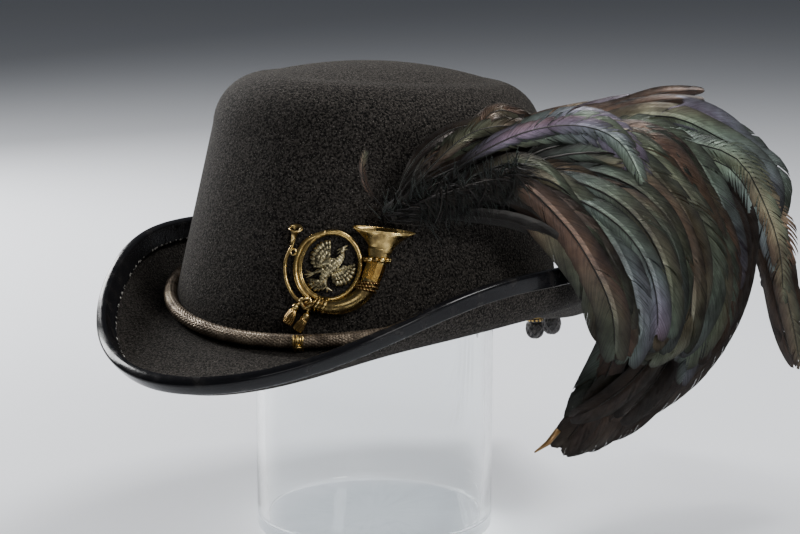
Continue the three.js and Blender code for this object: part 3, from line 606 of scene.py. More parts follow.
def lacquered_leather():
    """Glossy black binding: fine creases, a worn inner edge and a pale cut edge, by the marks across it."""
    material, tree, shader, place = new_material(
        "lacquered_leather", Roughness=0.16, Coat_Weight=0.1, Coat_Roughness=0.05, Specular_IOR_Level=0.1,
    )
    across = marks_of(tree)[0]
    grain = place_group(tree, FINE_GRAIN, Place=place, Grain=700.0, Patches=110.0)
    chips = noise(tree, place, 420.0, 6.0, Roughness=0.7)
    by_edge = ramp(tree, across, [(0.0, 1), (0.08, 1), (0.2, 0)])
    chipped = ramp(tree, math_node(tree, "MULTIPLY", chips, by_edge), [(0.54, 0), (0.58, 1)])
    rubbed = ramp(tree, grain["Patch"], [(0.55, 0), (1, 0.6)])
    cut = ramp(tree, across, [(0.955, 0), (0.985, 0.8)])
    colour = mix_colour(tree, rubbed, (0.006, 0.006, 0.007), (0.02, 0.018, 0.017))
    colour = mix_colour(tree, chipped, colour, (0.6, 0.57, 0.52))
    colour = mix_colour(tree, cut, colour, (0.3, 0.27, 0.23))
    rough = mix_colour(tree, chipped, (0.13, 0.13, 0.13), (0.7, 0.7, 0.7))
    rough = mix_colour(tree, grain["Patch"], rough, (0.3, 0.3, 0.3), "LIGHTEN")
    wire(tree, shader.inputs, {"Base Color": colour, "Roughness": rough})
    bump(tree, shader, grain["Height"], 0.00012, 0.5)
    return material


def metal_material(name, bright, dull, size, smooth_share, rough_share):
    """Metal with tarnish, tinted by the piece's own tint."""
    material, tree, shader, place = new_material(name, Metallic=1.0)
    old = place_group(
        tree, TARNISH, Place=place, Size=size, Bright=(*bright, 1), Dull=(*dull, 1), Smooth=smooth_share,
        Rough=rough_share,
    )
    colour = multiplied(tree, old["Colour"], tint_of(tree))
    wire(tree, shader.inputs, {"Base Color": colour, "Roughness": old["Roughness"]})
    bump(tree, shader, old["Height"], 0.00008, 0.6)
    return material


def silver_gilt_thread():
    """Metal thread in grains: pale where rubbed, brown where tarnished, finely ribbed."""
    material, tree, shader, place = new_material("silver_gilt_thread", Metallic=0.6, Roughness=0.45)
    old = place_group(
        tree, TARNISH, Place=place, Size=140.0, Bright=(0.5, 0.4, 0.29, 1), Dull=(0.13, 0.095, 0.065, 1),
        Smooth=0.34, Rough=0.55,
    )
    ribs = noise(tree, place, 2200.0, 2.0)
    colour = multiplied(tree, old["Colour"], ramp(tree, ribs, [(0.35, 0.35), (0.6, 1)]))
    colour = multiplied(tree, colour, tint_of(tree))
    wire(tree, shader.inputs, {"Base Color": colour, "Roughness": old["Roughness"]})
    bump(tree, shader, ribs, 0.00015, 0.8)
    return material


def cock_feather():
    """Vane of a cock feather: barb lines and streaks by the marks, over the tint, with a metallic gloss."""
    material, tree, shader, place = new_material(
        "cock_feather", Specular_IOR_Level=0.5, Sheen_Weight=0.15, Sheen_Roughness=0.3,
        Sheen_Tint=(0.6, 0.8, 0.7, 1),
    )
    across, along, _ = marks_of(tree)
    tint = tint_of(tree)
    barbs = math_node(tree, "PINGPONG", math_node(tree, "DIVIDE", along, BARB_PITCH), 1.0)
    between = multiplied(tree, tint, (0.32, 0.3, 0.3))
    colour = mix_colour(tree, ramp(tree, barbs, [(0.1, 0), (0.7, 1)]), between, tint)
    streak_place = combined(
        tree, X=math_node(tree, "MULTIPLY", across, 0.05), Y=along,
        Z=math_node(tree, "MULTIPLY", parts_of(tree, place)[2], 30.0),
    )
    streaks = noise(tree, streak_place, 1.3, 3.0)
    colour = multiplied(tree, colour, ramp(tree, streaks, [(0.34, 0.45), (0.5, 0.85), (0.66, 1)]))
    patch = place_group(tree, FINE_GRAIN, Place=place, Grain=260.0, Patches=90.0)
    wire(tree, shader.inputs, {
        "Base Color": mix_colour(tree, patch["Patch"], colour, multiplied(tree, colour, (0.45, 0.4, 0.42))),
        "Metallic": ramp(tree, patch["Mask"], [(0, 0.55), (1, 0.35)]),
        "Roughness": ramp(tree, patch["Mask"], [(0, 0.28), (1, 0.4)]),
    })
    bump(tree, shader, barbs, 0.00025, 0.6)
    return material


def plain_thread(name, dark, pale, grain):
    """Dark thread or hide with a little sheen."""
    material, tree, shader, place = new_material(name, Roughness=0.7, Sheen_Weight=0.3, Sheen_Roughness=0.4)
    weave = place_group(tree, FINE_GRAIN, Place=place, Grain=grain, Patches=200.0)
    wire(tree, shader.inputs, {"Base Color": mix_colour(tree, weave["Mask"], dark, pale)})
    bump(tree, shader, weave["Height"], 0.0003, 0.7)
    return material


def clear_glass():
    """Clear drawn glass with faint waviness, which lets light through to what it shades."""
    material, tree, shader, place = new_material(
        "clear_glass", Base_Color=(0.95, 0.965, 0.97, 1), Roughness=0.0, IOR=1.5, Transmission_Weight=1.0,
    )
    bump(tree, shader, noise(tree, place, 16.0, 1.0), 0.0006, 0.25)
    through = add_node(tree, "ShaderNodeBsdfTransparent", {"Color": (0.96, 0.97, 0.97, 1)})
    shadow = add_node(tree, "ShaderNodeLightPath").outputs["Is Shadow Ray"]
    both = add_node(tree, "ShaderNodeMixShader", {0: shadow, 1: shader.outputs[0], 2: through.outputs[0]})
    tree.links.new(both.outputs[0], tree.nodes["Material Output"].inputs["Surface"])
    return material


BARB_PITCH = 0.42
FELT_FINISH = black_fur_felt()
LEATHER_FINISH = lacquered_leather()
GILT_FINISH = metal_material("worn_gilt", (0.88, 0.62, 0.22), (0.25, 0.17, 0.065), 260.0, 0.17, 0.4)
SILVER_FINISH = metal_material(
    "tarnished_silver", (0.78, 0.68, 0.4), (0.13, 0.115, 0.075), 620.0, 0.24, 0.46
)
THREAD_FINISH = silver_gilt_thread()
FEATHER_FINISH = cock_feather()
ACORN_FINISH = plain_thread("dark_netting", (0.012, 0.011, 0.012), (0.09, 0.08, 0.075), 900.0)
SLEEVE_FINISH = plain_thread("sleeve_leather", (0.012, 0.01, 0.008), (0.035, 0.028, 0.022), 500.0)
GLASS_FINISH = clear_glass()


# Trees that repeat a piece
def new_tree(name, inputs):
    shape = [("Geometry", "Geometry")]
    return new_group(name, "GeometryNodeTree", shape + inputs + [("Material", "Material")], shape)


def end_tree(tree, laid, given, out):
    real = add_node(tree, "GeometryNodeRealizeInstances", {"Geometry": laid.outputs[0]}).outputs[0]
    dressed = add_node(tree, "GeometryNodeSetMaterial", {"Geometry": real, "Material": given["Material"]})
    wire(tree, out, {"Geometry": dressed.outputs[0]})
    return tree


def points_along(tree, given):
    line = add_node(tree, "GeometryNodeMeshToCurve", {"Mesh": given["Geometry"]}).outputs[0]
    inputs = {"Curve": line, "Length": given["Spacing"]}
    return add_node(tree, "GeometryNodeCurveToPoints", inputs, mode="LENGTH").outputs


def rows_along_path():
    """Two kinds of row, laid in turn along a line at an even spacing."""
    rows = ("Even row", "Odd row")
    tree, given, out = new_tree(
        "rows_along_path", [*((row, "Object") for row in rows), ("Spacing", "Float", 0.001)]
    )
    dots = points_along(tree, given)
    both = add_node(tree, "GeometryNodeJoinGeometry")
    for row in rows:
        source = add_node(tree, "GeometryNodeObjectInfo", {"Object": given[row]}).outputs["Geometry"]
        kept = add_node(tree, "GeometryNodeGeometryToInstance", {"Geometry": source})
        tree.links.new(kept.outputs[0], both.inputs[0])
    index = add_node(tree, "GeometryNodeInputIndex").outputs[0]
    laid = add_node(tree, "GeometryNodeInstanceOnPoints", {
        "Points": dots["Points"], "Instance": both.outputs[0], "Pick Instance": True,
        "Instance Index": math_node(tree, "MODULO", index, 2.0), "Rotation": dots["Rotation"],
    })
    return end_tree(tree, laid, given, out)


def turned_round_axis():
    """One strand, repeated round the upright axis of its own frame."""
    tree, given, out = new_tree("turned_round_axis", [("Count", "Int", 8)])
    dots = add_node(tree, "GeometryNodePoints", {"Count": given["Count"]}).outputs[0]
    index = add_node(tree, "GeometryNodeInputIndex").outputs[0]
    step = math_node(tree, "DIVIDE", 2 * math.pi, given["Count"])
    turn = combined(tree, Z=math_node(tree, "MULTIPLY", index, step))
    laid = add_node(tree, "GeometryNodeInstanceOnPoints", {
        "Points": dots, "Instance": given["Geometry"], "Rotation": turn,
    })
    return end_tree(tree, laid, given, out)


def tufts_along_path():
    """Fine barbs that stand off a line at chance turns and sizes."""
    tree, given, out = new_tree("tufts_along_path", [
        ("Barb", "Object"), ("Spacing", "Float", 0.001), ("Lean", "Float", 0.6), ("Smallest", "Float", 0.5),
        ("Seed", "Int", 1),
    ])

    def chance(low, high, **more):
        inputs = {2: low, 3: high, "Seed": given["Seed"], **more}
        return add_node(tree, "FunctionNodeRandomValue", inputs).outputs[1]

    dots = points_along(tree, given)
    source = add_node(tree, "GeometryNodeObjectInfo", {"Object": given["Barb"]})
    laid = add_node(tree, "GeometryNodeInstanceOnPoints", {
        "Points": dots["Points"], "Instance": source.outputs["Geometry"], "Rotation": dots["Rotation"],
        "Scale": chance(given["Smallest"], 1.0),
    })
    spin = {"Z": chance(0.0, 2 * math.pi)}
    lean = {"X": chance(0.15, given["Lean"], ID=7)}
    for turn in (spin, lean):
        inputs = {"Instances": laid.outputs[0], "Rotation": combined(tree, **turn)}
        laid = add_node(tree, "GeometryNodeRotateInstances", inputs)
    return end_tree(tree, laid, given, out)


ROWS_ALONG_PATH = rows_along_path()
TURNED_ROUND_AXIS = turned_round_axis()
TUFTS_ALONG_PATH = tufts_along_path()


def plain_object(name, points, faces=(), edges=()):
    mesh = bpy.data.meshes.new(name)
    mesh.from_pydata([tuple(p) for p in points], list(edges), list(faces))
    made = bpy.data.objects.new(name, mesh)
    bpy.context.scene.collection.objects.link(made)
    return made


def grown(host, tree, values):
    """Points and faces that a tree makes on its host, which is then removed."""
    modifier = host.modifiers.new(tree.name, "NODES")
    modifier.node_group = tree
    for item in tree.interface.items_tree:
        if item.item_type == "SOCKET" and item.in_out == "INPUT" and item.name in values:
            modifier[item.identifier] = values[item.name]
    seen = host.evaluated_get(bpy.context.evaluated_depsgraph_get())
    mesh = bpy.data.meshes.new_from_object(seen)
    points = np.zeros(len(mesh.vertices) * 3)
    mesh.vertices.foreach_get("co", points)
    faces = [tuple(polygon.vertices) for polygon in mesh.polygons]
    bpy.data.meshes.remove(mesh)
    bpy.data.objects.remove(host)
    return points.reshape(-1, 3), faces


def path_host(name, points, closed=False):
    count = len(points)
    edges = [(i, (i + 1) % count) for i in range(count if closed else count - 1)]
    return plain_object(name, points, edges=edges)


def grain_row(name, count, radius, length, width, height, slant, shift):
    """Ring of small slanted grains of thread round the path."""
    points, faces = [], []
    forward = np.array([0, 0, 1])
    for turn in full_turn(count, shift):
        out = np.array([math.cos(turn), math.sin(turn), 0])
        side = np.array([-math.sin(turn), math.cos(turn), 0])
        way = math.cos(slant) * forward + math.sin(slant) * side
        across = math.cos(slant) * side - math.sin(slant) * forward
        start = len(points)
        for share, size in ((-0.5, 0.25), (-0.18, 1), (0.18, 1), (0.5, 0.25)):
            middle = out * radius + way * length * share
            half = across * width / 2 * size
            points += [middle - half, middle + out * height * size, middle + half]
        for a in range(start, start + 9, 3):
            faces += [(a, a + 1, a + 4, a + 3), (a + 1, a + 2, a + 5, a + 4)]
    return plain_object(name, points, faces)


def braid(path, closed, radius, around, spacing):
    """Round braid: rows of grains that slant left and right in turn. Millimetres."""
    length = spacing * 1.75
    width = 2 * math.pi * radius / around * 0.86
    rows = [
        grain_row(f"grains_{i}", around, radius * 0.84, length, width, radius * 0.24, slant, shift)
        for i, (slant, shift) in enumerate(((0.5, 0.0), (-0.5, 0.5)))
    ]
    host = path_host("braid_path", path, closed)
    points, faces = grown(host, ROWS_ALONG_PATH, {
        "Even row": rows[0], "Odd row": rows[1], "Spacing": spacing, "Material": THREAD_FINISH,
    })
    for row in rows:
        bpy.data.objects.remove(row)
    return points, faces


# Free ends of the hat cord, with their acorns
PLUMB = np.array([0, 0, -1.0]) @ HAT_TURN


def slide_middle():
    y = foot_radius(math.pi) + GAP + 2 * CORD_RADIUS + GAP + SLIDE_LENGTH / 2
    brim = BrimSection(math.pi)
    here = brim.near_edge(brim.length - (y - foot_radius(math.pi)))[0][0]
    return np.array([0, y, here[1] + GAP + SLIDE_HEIGHT / 2])


def end_route(start, finish, drop):
    """Route of a cord end: along the brim from the slide, round the binding in a springy bend, then plumb."""
    bend = FELT / 2 + GAP + LEATHER + CORD_END_RADIUS + END_SPRING
    begin = slide_middle()[1] + SLIDE_LENGTH / 2 + GAP
    path = []

    def add(aside, flat):
        path.append(around_hat(math.pi - math.asin(aside / flat[0]), flat))

    for i in range(END_STEPS):
        share = i / END_STEPS
        aside = lerp(start, finish, smooth(share))
        brim = BrimSection(math.pi - math.asin(aside / begin))
        inward = (brim.length - (begin - foot_radius(math.pi))) * (1 - share)
        over = lerp(CORD_END_RADIUS + END_CLEAR, bend - FELT / 2, smooth((END_CLIMB - inward) / END_CLIMB))
        point, _, down = brim.near_edge(inward)
        add(aside, point[0] - down[0] * over)
    point, out, down = BrimSection(math.pi - math.asin(finish / begin)).near_edge(0)
    middle = point[0] + out[0] * GAP + down[0] * FELT / 2
    first = math.atan2(-down[0][1], -down[0][0])
    for i in range(5):
        turn = lerp(first, 0, i / 4)
        add(finish, middle + bend * np.array([math.cos(turn), math.sin(turn)]))
    last = path[-1]
    for share in (0.5, 1):
        path.append(last + PLUMB * share * drop)
    return np.array(path)


ACORN_FORM = (
    (0.02, 0), (0.3, 0.02), (0.55, 0.07), (0.76, 0.14), (0.92, 0.25), (1, 0.38), (0.97, 0.52), (0.86, 0.64),
    (0.8, 0.675), (0.94, 0.7), (0.98, 0.74), (0.94, 0.78), (0.8, 0.84), (0.6, 0.9), (0.34, 0.94), (0.28, 1),
)


def acorn_pieces(side, top):
    """Netted acorn below a cord end: a body under slanting threads, and a beaded gilt collar."""
    base = top + PLUMB * (GAP + ACORN_HEIGHT)
    form = course(np.array(ACORN_FORM) * (ACORN_RADIUS * 0.9, ACORN_HEIGHT), 30)
    body = Gather()
    body.add(*closed_skin([level_ring(radius, height, 24) for radius, height in form]))
    share = np.linspace(0.03, 0.62, 15)
    radius = np.interp(share * ACORN_HEIGHT, form[:, 1], form[:, 0]) + 0.2
    for way in (-1, 1):
        angle = way * 2.2 * share
        strand = np.stack([radius * np.cos(angle), radius * np.sin(angle), share * ACORN_HEIGHT], 1)
        host = plain_object("strand", *closed_skin(tube_rings(strand, 0.3, 5)))
        body.add(*grown(host, TURNED_ROUND_AXIS, {"Count": NETTING_STRANDS, "Material": ACORN_FINISH}))
    bead = Gather()
    add_ball(bead, (ACORN_RADIUS * 0.86, 0, ACORN_HEIGHT * 0.76), 0.72, 5, 6)
    host = plain_object("bead", np.concatenate(bead.points), bead.faces)
    collar = Gather()
    collar.add(*grown(host, TURNED_ROUND_AXIS, {"Count": COLLAR_BEADS, "Material": GILT_FINISH}))
    collar.add(*closed_tube(level_ring(ACORN_RADIUS * 0.8, ACORN_HEIGHT * 0.87, 24), 0.45, 6))

    def hang(points):
        return on_stand(base) + points * MILLIMETRE

    return [
        body.piece(f"acorn_netting_{side}", ACORN_FINISH, "acorn_thread", [f"acorn_{side}"], hang),
        collar.piece(f"acorn_collar_{side}", GILT_FINISH, "gilt", (), hang),
    ]


def cord_end_piece(side):
    """Free end of the hat cord, a braid over its core, made with the acorn that it carries."""
    route = end_route(**CORD_ENDS[side])
    fine = course(route, 120)
    line = even_course(fine, END_POINTS)
    gather = Gather()
    gather.add(*closed_skin(tube_rings(line, CORD_END_RADIUS * 0.88, 10)))
    inner = even_course(fine, END_BRAID_POINTS)[1:-1]
    gather.add(*braid(inner, False, CORD_END_RADIUS, *END_BRAID))
    piece = gather.piece(f"braided_end_{side}", THREAD_FINISH, "metal_thread", [f"cord_end_{side}"])
    drops = acorn_pieces(side, route[-1])


for cord_side in CORD_ENDS:
    cord_end_piece(cord_side)


# Felt hood
def felt_hood():
    """Hood of felt, one wall of even thickness: its outer face, its edge, then its inner face."""
    outer, inner = [], []
    for t in full_turn(HOOD_TURNS):
        line, down = hood_line(t)
        outer.append(around_hat(t, line))
        inner.append(around_hat(t, (line + down * FELT)[::-2]))
    gather = Gather()
    gather.add(*closed_skin(np.concatenate([outer, inner], axis=1).swapaxes(0, 1)))
    return gather.piece("felt_hood", FELT_FINISH, "felt", ["felt_body"])


def leather_binding():
    """Strip folded over the brim's edge. Its marks run from the upper inner edge to the lower outer edge."""
    over, under = -GAP, FELT + GAP
    half_depth = (under - over) / 2 + LEATHER
    section = [(BINDING_UPPER, over, 0), (BINDING_UPPER, over - 0.75, 0)]
    section.append((BINDING_UPPER - 0.25, over - LEATHER, 0))
    section += [(inward, over - LEATHER, 0) for inward in np.linspace(BINDING_UPPER - 0.7, 0.4, 12)]
    for turn in np.radians(np.linspace(8, 172, 11)):
        section.append((0, FELT / 2 - half_depth * math.cos(turn), GAP + LEATHER * math.sin(turn)))
    section += [(inward, under + LEATHER, 0) for inward in np.linspace(0.4, BINDING_UNDER - 0.5, 9)]
    section += [(BINDING_UNDER - 0.1, under + LEATHER - 0.1, 0), (BINDING_UNDER, under + 0.2, 0)]
    shown = len(section)
    section += [(inward, under, 0) for inward in (BINDING_UNDER, 3, 0.2)]
    section += [(0, under - 0.2, GAP), (0, over + 0.2, GAP)]
    section += [(inward, over, 0) for inward in (0.2, 4)]
    section = np.array(section)
    step = np.linalg.norm(np.diff(section[:shown], axis=0), axis=1)
    across = np.concatenate([[0], np.cumsum(step)])
    across = np.concatenate([across / across[-1], np.full(len(section) - shown, 0.5)])
    points, marks = [], []
    for t in full_turn(BINDING_TURNS):
        point, out, down = BrimSection(t).near_edge(section[:, 0])
        points.append(around_hat(t, point + down * section[:, 1:2] + out * section[:, 2:3]))
        marks.append(np.stack([across, np.full(len(section), t)], 1))
    gather = Gather()
    gather.add(*closed_net(points), np.concatenate(marks))
    return gather.piece("leather_binding", LEATHER_FINISH, "patent_leather", ["edge_binding"])


# Dark tint of the cord's core: painted shade between the braid's grains
CORE_PAINTED_SHADE = (0.05, 0.045, 0.04)


def cord_middle(t):
    return around_hat(t, (foot_radius(t) + GAP + CORD_RADIUS, foot_height(t) + CORD_LIFT + CORD_RADIUS))


def cord_line(count):
    path = [cord_middle(t) for t in full_turn(count)]
    return even_course(np.array(path + path[:1]), count + 1)[:-1]


def braided_cord():
    """Round braid of the hat cord over a core whose dark tint is painted shade, showing between its grains.
    """
    gather = Gather()
    gather.add(*closed_tube(cord_line(CORE_TURNS), CORD_RADIUS * 0.85, 12), tint=CORE_PAINTED_SHADE)
    gather.add(*braid(cord_line(BRAID_TURNS), True, CORD_RADIUS, *CORD_BRAID))
    return gather.piece("braided_cord", THREAD_FINISH, "metal_thread", ["hat_cord"])


def gilt_tie():
    """Wire wraps on the outer side of the cord, with a small knot and frayed ends."""
    t = math.radians(TIE_ANGLE)
    at = cord_middle(t)
    along = unit(cord_middle(t + 0.01) - at)
    out = unit(np.cross(along, (0, 0, 1)))
    up = np.cross(out, along)
    gather = Gather()
    turns = np.radians(np.linspace(-74, 48, 12))
    for i, place in enumerate(np.linspace(-0.3, 0.3, 5)):
        swell = 0.62 + 0.12 * math.cos(3 * i)
        lean = 0.25 * math.sin(2 * i)
        path = [
            at + along * (place * TIE_LENGTH + lean * a)
            + (CORD_RADIUS + GAP + swell) * (math.cos(a) * out + math.sin(a) * up) for a in turns
        ]
        add_tube(gather, path, 0.5, 6)
    knot = at + (CORD_RADIUS + GAP + 1.1) * (math.cos(-0.3) * out + math.sin(-0.3) * up)
    add_ball(gather, knot, 0.95, 6, 8)
    chance = np.random.default_rng(5)
    for _ in range(9):
        way = unit(out * 0.35 - up * chance.uniform(0.2, 0.8) + along * chance.uniform(-1, 1))
        end = knot + way * chance.uniform(1.2, 2.2)
        add_tube(gather, [knot, (knot + end) / 2 + out * 0.2, end - up * 0.2], [0.28, 0.24, 0.1], 5)
    return gather.piece("gilt_tie", GILT_FINISH, "gilt", ["cord_tie"])


def wound_slide():
    """Barrel slide wound with thread, its ends drawn in."""
    middle = slide_middle()
    gather = Gather()
    form = [(0.02, -1), (0.66, -0.99), (0.86, -0.93), (0.9, -0.8)]
    form += [(radius, -along) for radius, along in reversed(form)]
    turn = full_turn(20)
    half = np.array([SLIDE_WIDTH / 2, SLIDE_LENGTH / 2, SLIDE_HEIGHT / 2])

    def ring(radius, along):
        return middle + half * np.stack([np.full(20, along), radius * np.cos(turn), radius * np.sin(turn)], 1)

    gather.add(*closed_skin([ring(*place) for place in form]))
    for i, along in enumerate(np.linspace(-0.86, 0.86, SLIDE_WRAPS)):
        gather.add(*closed_tube(ring(0.93 + 0.02 * (i % 2), along), 0.36, 6, (1, 0, 0)))
    return gather.piece("wound_slide", THREAD_FINISH, "metal_thread", ["cord_slide"])


# Horn badge. Its drawing is in shares of the coil's radius: x along the wall, y up it, lift away from it.
def on_badge(points):
    points = np.asarray(points, float)
    along, up, lift = (points[..., i] for i in range(3))
    return on_crown(BADGE_ANGLE, BADGE_HEIGHT, along * BADGE_BREADTH, up, lift + GAP)


GOLD = (1, 1, 1)
PALE_GOLD = (1.2, 1.25, 1.4)
# Painted highlight on alternate facets of the ferrule
ORANGE_GOLD_LIT_FACET = (1.15, 1.0, 0.75)
MATT_GOLD = (0.62, 0.64, 0.7)
BRONZE = (0.5, 0.46, 0.42)
COPPER = (0.72, 0.68, 0.72)
DARK_COPPER = (0.3, 0.26, 0.25)
# Painted shade on the other facets of the ferrule
BROWN_GOLD_SHADED_FACET = (0.95, 0.75, 0.5)
BEAD_SHADOW = (0.14, 0.09, 0.05)
DARK_RED = (0.24, 0.12, 0.14)

# Tubes of the horn: x, y, lift, half width, half thickness
MOUTH_PIPE = (
    (-1.3, 0.78, 0.132, 0.066, 0.066), (-1.33, 0.52, 0.132, 0.056, 0.056), (-1.43, 0.27, 0.132, 0.052, 0.052),
    (-1.48, 0, 0.132, 0.052, 0.052), (-1.43, -0.33, 0.132, 0.052, 0.052), (-1.27, -0.68, 0.132, 0.056, 0.056),
    (-0.94, -1.04, 0.146, 0.06, 0.06), (-0.397, -1.25, 0.159, 0.09, 0.09),
)
BELL_TUBE = (
    (-0.397, -1.13, 0.172, 0.146, 0.146), (0, -1.21, 0.225, 0.205, 0.19), (0.4, -1.2, 0.252, 0.235, 0.22),
    (0.78, -1.07, 0.262, 0.25, 0.23), (1.08, -0.84, 0.265, 0.265, 0.235), (1.27, -0.52, 0.265, 0.28, 0.238),
    (1.4, -0.16, 0.265, 0.295, 0.238), (1.5, 0.2, 0.272, 0.3, 0.24), (1.56, 0.56, 0.291, 0.4, 0.26),
)
# Bands round the tubes: x, y, the way that the tube runs, half span and height of the crest
BANDS = ((1.285, -0.46, 84, 0.36, 0.555), (1.25, -0.56, 81, 0.355, 0.555), (1.205, -0.66, 78, 0.35, 0.55))
WRAPS = (
    (-0.34, -1.14, -28, 0.225, 0.39), (-0.23, -1.165, -24, 0.235, 0.405), (-0.12, -1.185, -20, 0.243, 0.43),
    (-0.01, -1.2, -14, 0.25, 0.45),
)
BEAD_BAND = (1.51, 0.23, 89, 0.39, 0.52)
# Tassels: where the string starts, the knob and the end
TASSELS = (((-0.6, -1.1), (-0.9, -1.24), (-1.14, -1.74)), ((-0.47, -1.2), (-0.53, -1.48), (-0.82, -1.92)))

# Open mouths of the horn: along the axis back from the rim, half width, half thickness, lift and shade. The
# shade is the metal's tone outside, raised near the lip as a painted highlight and lowered down the throat as
# painted shade
BELL_MOUTH = (
    (0.72, 0.3, 0.22, 0.28, 0.66), (0.62, 0.365, 0.25, 0.285, 0.66), (0.5, 0.405, 0.262, 0.292, 0.66),
    (0.38, 0.49, 0.28, 0.308, 0.66), (0.26, 0.62, 0.3, 0.328, 0.68), (0.13, 0.79, 0.32, 0.35, 0.72),
    (0.04, 0.95, 0.336, 0.365, 0.9), (0, 1.02, 0.344, 0.371, 1.3), (-0.03, 1.03, 0.344, 0.373, 1.5),
    (-0.015, 0.98, 0.325, 0.373, 1.3), (0.06, 0.86, 0.29, 0.365, 0.8), (0.18, 0.66, 0.24, 0.35, 0.4),
    (0.32, 0.46, 0.2, 0.33, 0.2), (0.5, 0.28, 0.15, 0.3, 0.1),
)
MOUTHPIECE = (
    (0.5, 0.05, 0.05, 0.132, 1), (0.32, 0.07, 0.07, 0.135, 1), (0.17, 0.11, 0.1, 0.145, 1),
    (0.07, 0.165, 0.14, 0.16, 1.1), (0, 0.22, 0.17, 0.172, 1.4), (-0.025, 0.215, 0.165, 0.173, 1.4),
    (-0.01, 0.18, 0.135, 0.172, 0.8), (0.05, 0.13, 0.1, 0.168, 0.12), (0.14, 0.06, 0.06, 0.16, 0.05),
)


def cast(gather, rings, tint=GOLD):
    """Closed form of the badge's drawing, in millimetres, laid on the crown."""
    points, faces = closed_skin(rings)
    points = on_badge(points)
    gather.add(points, outward(points, faces), tint=tint)


def limb(gather, rows, count, sides, tint=GOLD, size=COIL_RADIUS):
    """Closed limb of the drawing. A row is x, y, lift, half width, half thickness."""
    rows = course(np.array(rows) * size, count)
    turn = full_turn(sides, 0.5)
    rings = []
    for row, (wx, wy) in zip(rows, unit(np.gradient(rows[:, :2], axis=0))):
        across, rise = row[3] * np.cos(turn), row[4] * np.sin(turn)
        rings.append(np.stack([row[0] - across * wy, row[1] + across * wx, row[2] + rise], 1))
    cast(gather, rings, tint)


def bright_ring(gather, ring, radius):
    """Thin pale tube along a flat closed ring of the badge."""
    quarter = len(ring) // 4
    axis = unit(np.cross(ring[quarter] - ring[0], ring[2 * quarter] - ring[0]))
    gather.add(*closed_tube(ring, radius, 6, axis), tint=PALE_GOLD)


def arch(x, y, way, half, crest, foot, count=13, start=14):
    """Arch over a tube, square to the way that the tube runs."""
    path = []
    lean = math.radians(way)
    for swing in np.radians(np.linspace(start, 180 - start, count)):
        across = -half * math.cos(swing)
        rise = foot + (crest - foot) * math.sin(swing)
        path.append((x - across * math.sin(lean), y + across * math.cos(lean), rise))
    return np.array(path) * COIL_RADIUS


def rope(gather, path, radius, pitch, tints):
    """Strands twisted round a path, one for each tint."""
    path = even_course(course(path, 80), 46)
    ways = unit(np.gradient(path, axis=0))
    side = unit(np.cross(ways, (0.2, 0.3, 0.93)))
    other = np.cross(ways, side)
    place = np.linspace(0, 1, len(path)) * np.linalg.norm(np.diff(path, axis=0), axis=1).sum()
    for i, tint in enumerate(tints):
        angle = 2 * math.pi * (place / pitch + i / len(tints))
        strand = path + 0.55 * radius * (np.cos(angle)[:, None] * side + np.sin(angle)[:, None] * other)
        cast(gather, tube_rings(strand, radius * 0.62, 6), tint)


def open_mouth(gather, middle, lean, rows, tilt, lip, sides=40):
    """Flared mouth with a hollow throat and a rolled lip. Its rim tips forward by its tilt."""
    way = np.array([math.cos(math.radians(lean)), math.sin(math.radians(lean))])
    turn = full_turn(sides)
    rings, tones_and_painted_light = [], []
    # Each ring's shade: the metal's tone outside, a painted highlight near the lip, painted shade down the
    # throat
    for back, half, deep, lift, shade in rows:
        across, rise = half * np.cos(turn), deep * np.sin(turn)
        behind = back + tilt * rise * smooth(1 - back / 0.3)
        x = middle[0] - way[0] * behind + across * way[1]
        y = middle[1] - way[1] * behind - across * way[0]
        rings.append(np.stack([x, y, lift + rise], 1) * COIL_RADIUS)
        tones_and_painted_light.append(np.full(sides, shade))
    tones_and_painted_light = np.concatenate(tones_and_painted_light + [[rows[0][4], rows[-1][4]]])
    cast(gather, rings, tones_and_painted_light[:, None] * np.array([[1, 1.02, 1.1]]))
    # The pale ring on the lip, at the widest ring, is a painted highlight
    widest = max(range(len(rows)), key=lambda i: rows[i][1])
    bright_ring(gather, on_badge(rings[widest]), lip)


def faceted_ferrule(gather):
    """Flat-sided ferrule between the rope bands and the beads; its facets are tinted lighter and darker in
    turn as painted highlight and painted shade.
    """
    rows = course(np.array(BELL_TUBE[5:8]) * COIL_RADIUS, 11)[2:-1]
    way = unit(np.gradient(rows[:, :2], axis=0))
    lines = []
    for turn in np.radians(np.arange(-15, 226, 34)):
        across, rise = rows[:, 3] * 1.1 * math.cos(turn), rows[:, 4] * 1.16 * math.sin(turn)
        line = (rows[:, 0] - across * way[:, 1], rows[:, 1] + across * way[:, 0], rows[:, 2] + rise)
        lines.append(np.stack(line, 1))
    for i, (one, two) in enumerate(zip(lines[:-1], lines[1:])):
        points = on_badge(np.concatenate([one, two]))
        n = len(one)
        faces = [(k, k + 1, n + k + 1, n + k) for k in range(n - 1)]
        a, b, c = points[faces[0][0]], points[faces[0][1]], points[faces[0][2]]
        middle = on_badge(rows[:1, :3])[0]
        if np.dot(np.cross(b - a, c - b), a - middle) < 0:
            faces = [tuple(reversed(face)) for face in faces]
        # Alternate facets lighter and darker: painted highlight and painted shade
        gather.add(points, faces, tint=ORANGE_GOLD_LIT_FACET if i % 2 else BROWN_GOLD_SHADED_FACET)


